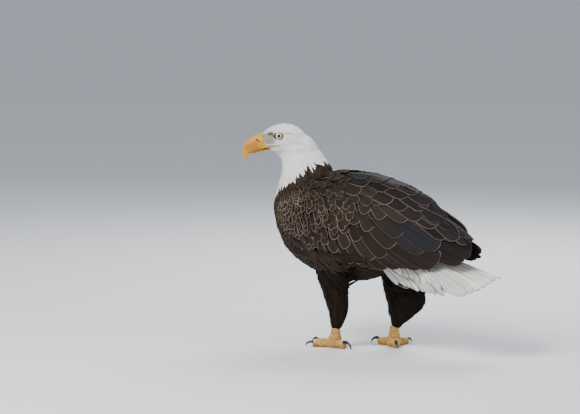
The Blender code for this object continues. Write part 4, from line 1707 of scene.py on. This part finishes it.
def eyeball(name, side):
    shape = bmesh.new()
    bmesh.ops.create_uvsphere(shape, u_segments=64, v_segments=40, radius=EYE_RADIUS)
    mesh = as_mesh(name, shape)
    local = coordinates(mesh)
    off_axis = np.hypot(local[:, 0], local[:, 1])
    bulge = 1 - smooth_step(off_axis, 2.0, 8.5)
    tucked = 5.0 * smooth_step(off_axis, 8.9, 10.6)  # the rest of the ball stays behind the lids
    local[:, 2] += np.where(local[:, 2] > 0, bulge * CORNEA - tucked, 0)
    out = np.array(head_left) * side
    frame_axes = np.array([head_ahead, np.cross(out, head_ahead), out])
    centre = np.array(on_head(0, EYE_SIDE * side, 0))
    move_vertices(mesh, centre + local @ frame_axes * MM)
    if np.linalg.det(frame_axes) < 0:
        mesh.flip_normals()
    piece = new_object(name, mesh, eye_finish)
    write_attribute(mesh, "off_axis", np.where(local[:, 2] > 0, off_axis, 20.0))
    write_attribute(mesh, "round", np.column_stack([local[:, 0], local[:, 1], 0 * off_axis]), "FLOAT_VECTOR")
    mesh.shade_smooth()
    return piece


eye_finish = Finish("eye_gloss", Roughness=0.12, Coat_Weight=1.0, Coat_Roughness=0.03, IOR=1.4)
off = eye_finish.attribute("off_axis")
x, y, _ = eye_finish.parts(eye_finish.attribute("round", "Vector"))
turn = y.do("ARCTAN2", y, x)
rays = eye_finish.noise(eye_finish.join(turn * 7.0, off * 0.35, 0.0), 3.0, 3.0, 0.6)
straw = eye_finish.mix(rays.step(0.3, 0.7), (0.60, 0.50, 0.20, 1), (0.92, 0.83, 0.46, 1))
inner = eye_finish.mix(off.step(PUPIL, PUPIL + 1.2, 0.55, 0.0), straw, (0.36, 0.26, 0.12, 1))
ringed = eye_finish.mix(off.step(IRIS - 0.9, IRIS, 0.0, 1.0), inner, (0.035, 0.025, 0.018, 1))
black = (0.003, 0.003, 0.004, 1)
eye_finish.feed("Base Color", eye_finish.mix(off.step(PUPIL - 0.15, PUPIL + 0.15), black, ringed))
for side, word in SIDES.items():
    finished(eyeball("eyeball_" + word, side), "eye", "eye_" + word)

# %% [markdown]
# ## Lids and brow
#
# Dark bare skin rings the eye and runs to a point in front, which makes the look stern. Each lid ring
# is a soft band that starts on the eyeball, rises to a rim and dips under the feathers around it.

# %% Lid rings
LID_BANDS = (  # radius, and how far it stands out from the eyeball
    (7.9, -0.2), (8.2, 0.5), (8.6, 0.9), (9.2, 0.9), (9.9, 0.7), (10.8, -1.6),
)


def lid_ring(name, side, points=72):
    out = head_left * side
    rings = []
    for radius, proud in LID_BANDS:
        ring = []
        for step in range(points):
            turn = math.tau * step / points
            ahead, up = math.cos(turn), math.sin(turn)
            front = max(0.0, math.cos(turn + 0.08)) ** 14
            pull = front * smooth_step(radius, 7.6, 12.0) * 2.6 + front * 0.6
            squint = 1 - (0.15 if up > 0 else 0.05) * up**2
            reach = radius * squint + pull
            flat = min(radius, 11.8)
            over = EYE_SIDE + math.sqrt(max(EYE_RADIUS**2 - flat**2, 4)) + proud + CORNEA * 0.4
            over -= front * smooth_step(radius, 8.5, 11.0) * 1.6
            brow = 1.4 * max(0.0, up) ** 3
            ring.append(on_head(ahead * reach, side * (over + brow), up * reach))
        rings.append(ring)
    mesh = as_mesh(name, banded(rings)[0])
    if sum(p.normal.dot(out) for p in mesh.polygons) < 0:
        mesh.flip_normals()
    piece = new_object(name, mesh, lid_finish)
    settle(modified(piece, "SOLIDIFY", thickness=0.6 * MM, offset=-1))
    settle(modified(piece, "SUBSURF", levels=1, render_levels=1))
    piece.data.shade_smooth()
    return piece


lid_finish = Finish("lid_skin", Roughness=0.5, Specular_IOR_Level=0.4)
folds = lid_finish.noise(lid_finish.place(), 900.0, 3.0, 0.6)
lid_finish.feed("Base Color", lid_finish.mix(folds, (0.020, 0.016, 0.012, 1), (0.075, 0.062, 0.045, 1)))
lid_finish.bump(folds, 0.0005)
for side, word in SIDES.items():
    finished(lid_ring("lids_" + word, side), "eye")

# %% [markdown]
# ## The gape
#
# A yellow fold of bare skin runs back from the cutting edge to under the eye, and a dark line below it
# is painted shadow in the crease of the closed mouth. Points along it are found on the face with rays
# from the side, so that the fold follows the cheek.

# %% Gape folds
GAPE = (  # ahead, up, half height, half depth
    (44, -32.0, 0.6, 0.3), (39, -29.2, 1.7, 0.8), (32, -26.2, 2.6, 1.5), (22, -24.2, 2.7, 1.9),
    (12, -23.4, 2.5, 1.8), (4, -22.8, 2.1, 1.5), (-2, -22.3, 1.3, 1.0), (-5, -22.0, 0.4, 0.4),
)
MOUTH_SHADOW_LINE = (
    (47, -36.0, 0.5, 0.6), (38, -33.0, 0.8, 1.0), (30, -30.6, 0.9, 1.1), (20, -28.6, 0.9, 1.0),
    (11, -27.6, 0.7, 0.8), (4, -27.0, 0.3, 0.3),
)


def cheek(ahead, up, side):
    """The place on the face or the bill straight in from the side."""
    start = on_head(ahead, side * 80, up)
    hits = [tree.ray_cast(start, head_left * -side)[0] for tree in (skin_surface, bill_surface)]
    return min((hit for hit in hits if hit), key=lambda hit: (hit - start).length)


def fold(name, table, side, finish, proud):
    rings = []
    for ahead, up, *halves in smooth_table(table, 40):
        half_height, half_depth = np.maximum(halves, 0.2)
        middle = cheek(ahead, up, side) + head_left * side * proud * MM
        rings.append([
            middle + (UP * math.sin(t) * half_height + head_left * math.cos(t) * half_depth) * MM
            for t in np.arange(16) * math.tau / 16
        ])
    return loft(name, rings, finish)


bill_surface = surface_of(bill.data)
gape_finish = Finish("gape_skin", Roughness=0.42, Specular_IOR_Level=0.4)
worn = gape_finish.noise(gape_finish.place(), 260.0, 3.0, 0.6)
waxy = gape_finish.mix(worn.step(0.35, 0.7), (0.52, 0.37, 0.11, 1), (0.42, 0.25, 0.08, 1))
gape_finish.feed("Base Color", waxy)
gape_finish.bump(worn, 0.0004)
# The dark line along the mouth is painted shadow of the crease between the bills.
mouth_shadow_finish = Finish("mouth_shadow_line", Roughness=0.6, Base_Color=(0.06, 0.035, 0.02, 1))
for side, word in SIDES.items():
    finished(fold("gape_" + word, GAPE, side, gape_finish, 0.9), "cere")
    finished(fold("mouth_line_" + word, MOUTH_SHADOW_LINE, side, mouth_shadow_finish, 0.8), "cere")

# %% [markdown]
# ## Feet
#
# An eagle's foot is covered with small round scales like pebbles, and the last part of each toe has a
# row of broad plates across its top. The measured foot is copied, remeshed finely and smoothed. Then
# every point finds its toe, and cells or plates are pressed into the surface by the place along it.


# %% Toes and their axes
def heading(yaw):
    """(ahead, left) of something that looks yaw degrees to the left of -Y."""
    turn = math.radians(yaw)
    return Vector((math.sin(turn), -math.cos(turn), 0)), Vector((math.cos(turn), math.sin(turn), 0))


FEET = {"left": (48, -42, -18), "right": (-48, 61, -50)}  # x, y and turn of the ball of the foot
TOES = {  # turn outwards, length, radius, talon length, talon radius
    "inner": (-42, 47, 8.6, 36, 4.9), "middle": (0, 66, 8.2, 32, 4.4),
    "outer": (44, 51, 7.6, 28, 4.0), "hind": (180, 35, 8.8, 40, 5.2),
}
SCALE_SIZE, PLATE = 2.6, 3.6  # width of a scale and length of a plate, in millimetres
KNUCKLES = (  # place along the toe, width and rise
    (0.60, 0.12, 2.0), (0.42, 0.08, -1.0), (0.95, 0.12, 1.2), (0.78, 0.07, -0.8),
)
BALL_RISE = 5.2  # how far the ball of the foot swells


def toe_lines(side):
    """For each toe: its start, its direction, its length and its radius, in millimetres."""
    x, y, turn = FEET[side]
    lines = []
    for spread_out, length, radius, *_ in TOES.values():
        ahead = heading(turn + math.copysign(1, x) * spread_out)[0]
        lines.append((np.array((x, y, radius)), np.array(ahead), length, radius))
    return lines


def scaly_foot(side):
    foot = new_object("scaled_foot_" + side, joined_copy(["foot_" + side]), foot_finish)
    settle(modified(foot, "REMESH", mode="VOXEL", voxel_size=0.85 * MM, adaptivity=0))
    settle(modified(foot, "SMOOTH", factor=0.6, iterations=9))
    mesh = foot.data
    places = (coordinates(mesh) - ORIGIN) / MM
    normals = smooth_normals(mesh)
    nearest = np.full(len(places), 1e9)
    along, end = np.zeros(len(places)), np.ones(len(places))
    for start, ahead, length, radius in toe_lines(side):
        reach = np.clip((places - start) @ ahead, 0, length)
        away = np.linalg.norm(places - start - reach[:, None] * ahead, axis=1) - radius
        closer = away < nearest
        nearest[closer], along[closer], end[closer] = away[closer], reach[closer], length
    share = along / end
    on_leg = smooth_step(places[:, 2], 17, 24)
    top = smooth_step(normals[:, 2], 0.15, 0.6) * (1 - on_leg)
    plated = top * smooth_step(share, 0.62, 0.7)
    cells = np.zeros(len(places))
    tone = np.zeros(len(places))
    for number, place in enumerate(places):
        distances, points = noise.voronoi(Vector(place) / SCALE_SIZE)
        cells[number] = distances[1] - distances[0]
        tone[number] = noise.cell(points[0] * 3.1)
    pebble = smooth_step(cells, 0.0, 0.42)
    plate = np.abs(np.sin(math.pi * along / PLATE)) ** 0.45
    relief = pebble * (1 - plated) * 0.7 + plate * plated
    knuckles = sum(rise * hill(share, middle, width) for middle, width, rise in KNUCKLES)
    x, y, _ = FEET[side]
    from_ball = np.hypot(places[:, 0] - x, places[:, 1] - y)
    ball = BALL_RISE * hill(from_ball, 0, 24) * hill(places[:, 2], 13, 14)
    grow = 0.2 + knuckles * (1 - on_leg) * (from_ball > 16) + ball + 1.2 * on_leg + relief
    places = places + normals * grow[:, None]
    places[:, 2] = np.where(places[:, 2] < 0.6, np.maximum(places[:, 2], 0), places[:, 2])
    move_vertices(mesh, places * MM + ORIGIN)
    write_attribute(mesh, "crease", 1 - (pebble * (1 - plated) + plate * plated))
    write_attribute(mesh, "tone", tone * (1 - plated) + 0.5 * plated)
    mesh.shade_smooth()
    return foot


foot_finish = Finish("foot_scales", Specular_IOR_Level=0.35)
crease, tone = foot_finish.attribute("crease"), foot_finish.attribute("tone")
blotch = foot_finish.noise(foot_finish.place(), 90.0, 4.0, 0.6)
yellow = foot_finish.mix(tone, (0.78, 0.49, 0.17, 1), (0.66, 0.38, 0.11, 1))
yellow = foot_finish.mix(blotch.step(0.4, 0.72), yellow, (0.52, 0.33, 0.15, 1))
height = foot_finish.parts(foot_finish.place())[2]
# Patchy dark brown towards the bottom of the foot, fading out about 12 mm up.
low_dark_patches = height.step(0.002, 0.012, 0.5, 0.0) * blotch.step(0.3, 0.6)
yellow = foot_finish.mix(low_dark_patches * 0.7, yellow, (0.16, 0.10, 0.055, 1))
# The furrows between scales and plates are painted darker brown: painted shade in the creases.
yellow = foot_finish.mix(crease.step(0.2, 1.0) * 0.75, yellow, (0.28, 0.15, 0.055, 1))
foot_finish.feed("Base Color", yellow)
foot_finish.feed("Roughness", crease * 0.25 + 0.48)
foot_finish.bump(foot_finish.noise(foot_finish.place(), 1400.0, 3.0, 0.6), 0.0003, 0.7)
for side in FEET:
    finished(scaly_foot(side), "foot", "foot_" + side)

# %% [markdown]
# ## Talons
#
# A talon is a horn that curves evenly from a thick root to a needle point. Its axis is turned a little
# at each ring, as a person would bend a wire, and the rings shrink on the way.

# %% Talons
TALON_RISE, TALON_FALL = 38, 74  # degrees up at the root and down at the tip
TALON_TIP = 1.4  # height of the tip's centre, in millimetres
TALON_STEPS, TALON_POINTS = 26, 20


def talon(name, side, toe):
    x, y, turn = FEET[side]
    spread_out, toe_length, toe_radius, length, radius = TOES[toe]
    ahead, left = heading(turn + math.copysign(1, x) * spread_out)
    step_length = length / TALON_STEPS
    pitches = [
        math.radians(TALON_RISE - (TALON_RISE + TALON_FALL) * k / TALON_STEPS)
        for k in range(TALON_STEPS + 1)
    ]
    fall = -sum(math.sin(pitch) for pitch in pitches[:-1]) * step_length
    centre = on_body(x, y, 0) + (ahead * (toe_length - toe_radius * 0.55) + UP * (TALON_TIP + fall)) * MM
    rings = []
    for step, pitch in enumerate(pitches):
        along = ahead * math.cos(pitch) + UP * math.sin(pitch)
        dorsal = UP * math.cos(pitch) - ahead * math.sin(pitch)
        size = (radius + 0.5) * (1 - step / TALON_STEPS) ** 0.62 + 0.25
        ring = []
        for corner in range(TALON_POINTS):
            angle = math.tau * corner / TALON_POINTS
            flat = 0.62 if math.sin(angle) < 0 else 1.0
            off_axis = left * (math.cos(angle) * size * 0.84) + dorsal * (math.sin(angle) * size * flat)
            ring.append(centre + off_axis * MM)
        rings.append(ring)
        centre = centre + along * step_length * MM
    return loft(name, rings, talon_finish)


talon_finish = Finish("talon_horn", Coat_Weight=0.3, Coat_Roughness=0.15, Specular_IOR_Level=0.6)
rub = talon_finish.noise(talon_finish.place(), 260.0, 4.0, 0.65)
scratch = talon_finish.noise(talon_finish.place(), 1500.0, 2.0, 0.5)
rubbed = talon_finish.mix(rub.step(0.45, 0.75), (0.010, 0.011, 0.014, 1), (0.045, 0.043, 0.045, 1))
talon_finish.feed("Base Color", rubbed)
talon_finish.feed("Roughness", rub * 0.25 + 0.16)
talon_finish.bump(scratch, 0.0002, 0.5)
for side in FEET:
    for toe in TOES:
        finished(talon(f"claw_{side}_{toe}", side, toe), "talon", f"talon_{side}_{toe}")

# %% [markdown]
# ## Floor, light and camera
#
# A wide pale floor, a soft key light from the upper left and weaker fills show the feathers' relief
# without hard shadows. The camera stands a little above the breast and far off, as one does with a
# long lens, so that near and far parts keep their proportions.

# %% Floor
floor_finish = Finish("floor", Roughness=0.9, Specular_IOR_Level=0.1, Base_Color=(0.78, 0.79, 0.80, 1))
shape = bmesh.new()
bmesh.ops.create_grid(shape, x_segments=1, y_segments=1, size=30)
floor_mesh = as_mesh("floor", shape)
new_object("floor", floor_mesh, floor_finish)

# %% Camera
VIEW_AZIMUTH, VIEW_ELEVATION = math.radians(125), math.radians(6)
DISTANCE, VIEW_WIDTH, SENSOR = 8.0, 1.363, 36  # metres, metres and millimetres
view_right = Vector((math.cos(VIEW_AZIMUTH), math.sin(VIEW_AZIMUTH), 0))
view_back = Vector((
    math.sin(VIEW_AZIMUTH) * math.cos(VIEW_ELEVATION),
    -math.cos(VIEW_AZIMUTH) * math.cos(VIEW_ELEVATION),
    math.sin(VIEW_ELEVATION),
))
view_up = view_back.cross(view_right)
aim = body_origin - view_right * 0.167 + view_up * 0.327
camera = new_object("camera", bpy.data.cameras.new("camera"))
camera.data.sensor_width = SENSOR
camera.data.lens = SENSOR * DISTANCE / VIEW_WIDTH
camera.location = aim + view_back * DISTANCE
camera.rotation_euler = (-view_back).to_track_quat("-Z", "Y").to_euler()
camera.data.clip_end = 100
bpy.context.scene.camera = camera


# %% Light
def soft_light(name, right, up, toward, size, power, colour=(1, 1, 1)):
    """A square light placed from the camera's point of view, aimed at the bird's chest."""
    lamp = bpy.data.lights.new(name, "AREA")
    lamp.size, lamp.energy, lamp.color = size, power, colour
    made = new_object(name, lamp)
    target = body_origin + Vector((0, 0, 0.3))
    flat_back = Vector((view_back.x, view_back.y, 0)).normalized()
    made.location = target + view_right * right + UP * up + flat_back * toward
    made.rotation_euler = (target - made.location).to_track_quat("-Z", "Y").to_euler()


soft_light("key", -1.6, 2.2, 1.6, 1.4, 75, (1.0, 0.98, 0.95))
soft_light("fill", 2.4, 0.9, 1.8, 2.0, 22)
soft_light("rim", 0.6, 1.8, -2.0, 1.4, 40)
bpy.context.scene.view_settings.look = "AgX - Medium High Contrast"
world = bpy.data.worlds.new("studio")
world.use_nodes = True
world.node_tree.nodes["Background"].inputs[0].default_value = (0.75, 0.80, 0.88, 1)
world.node_tree.nodes["Background"].inputs[1].default_value = 0.55
bpy.context.scene.world = world
print("camera", tuple(round(v, 2) for v in camera.location))
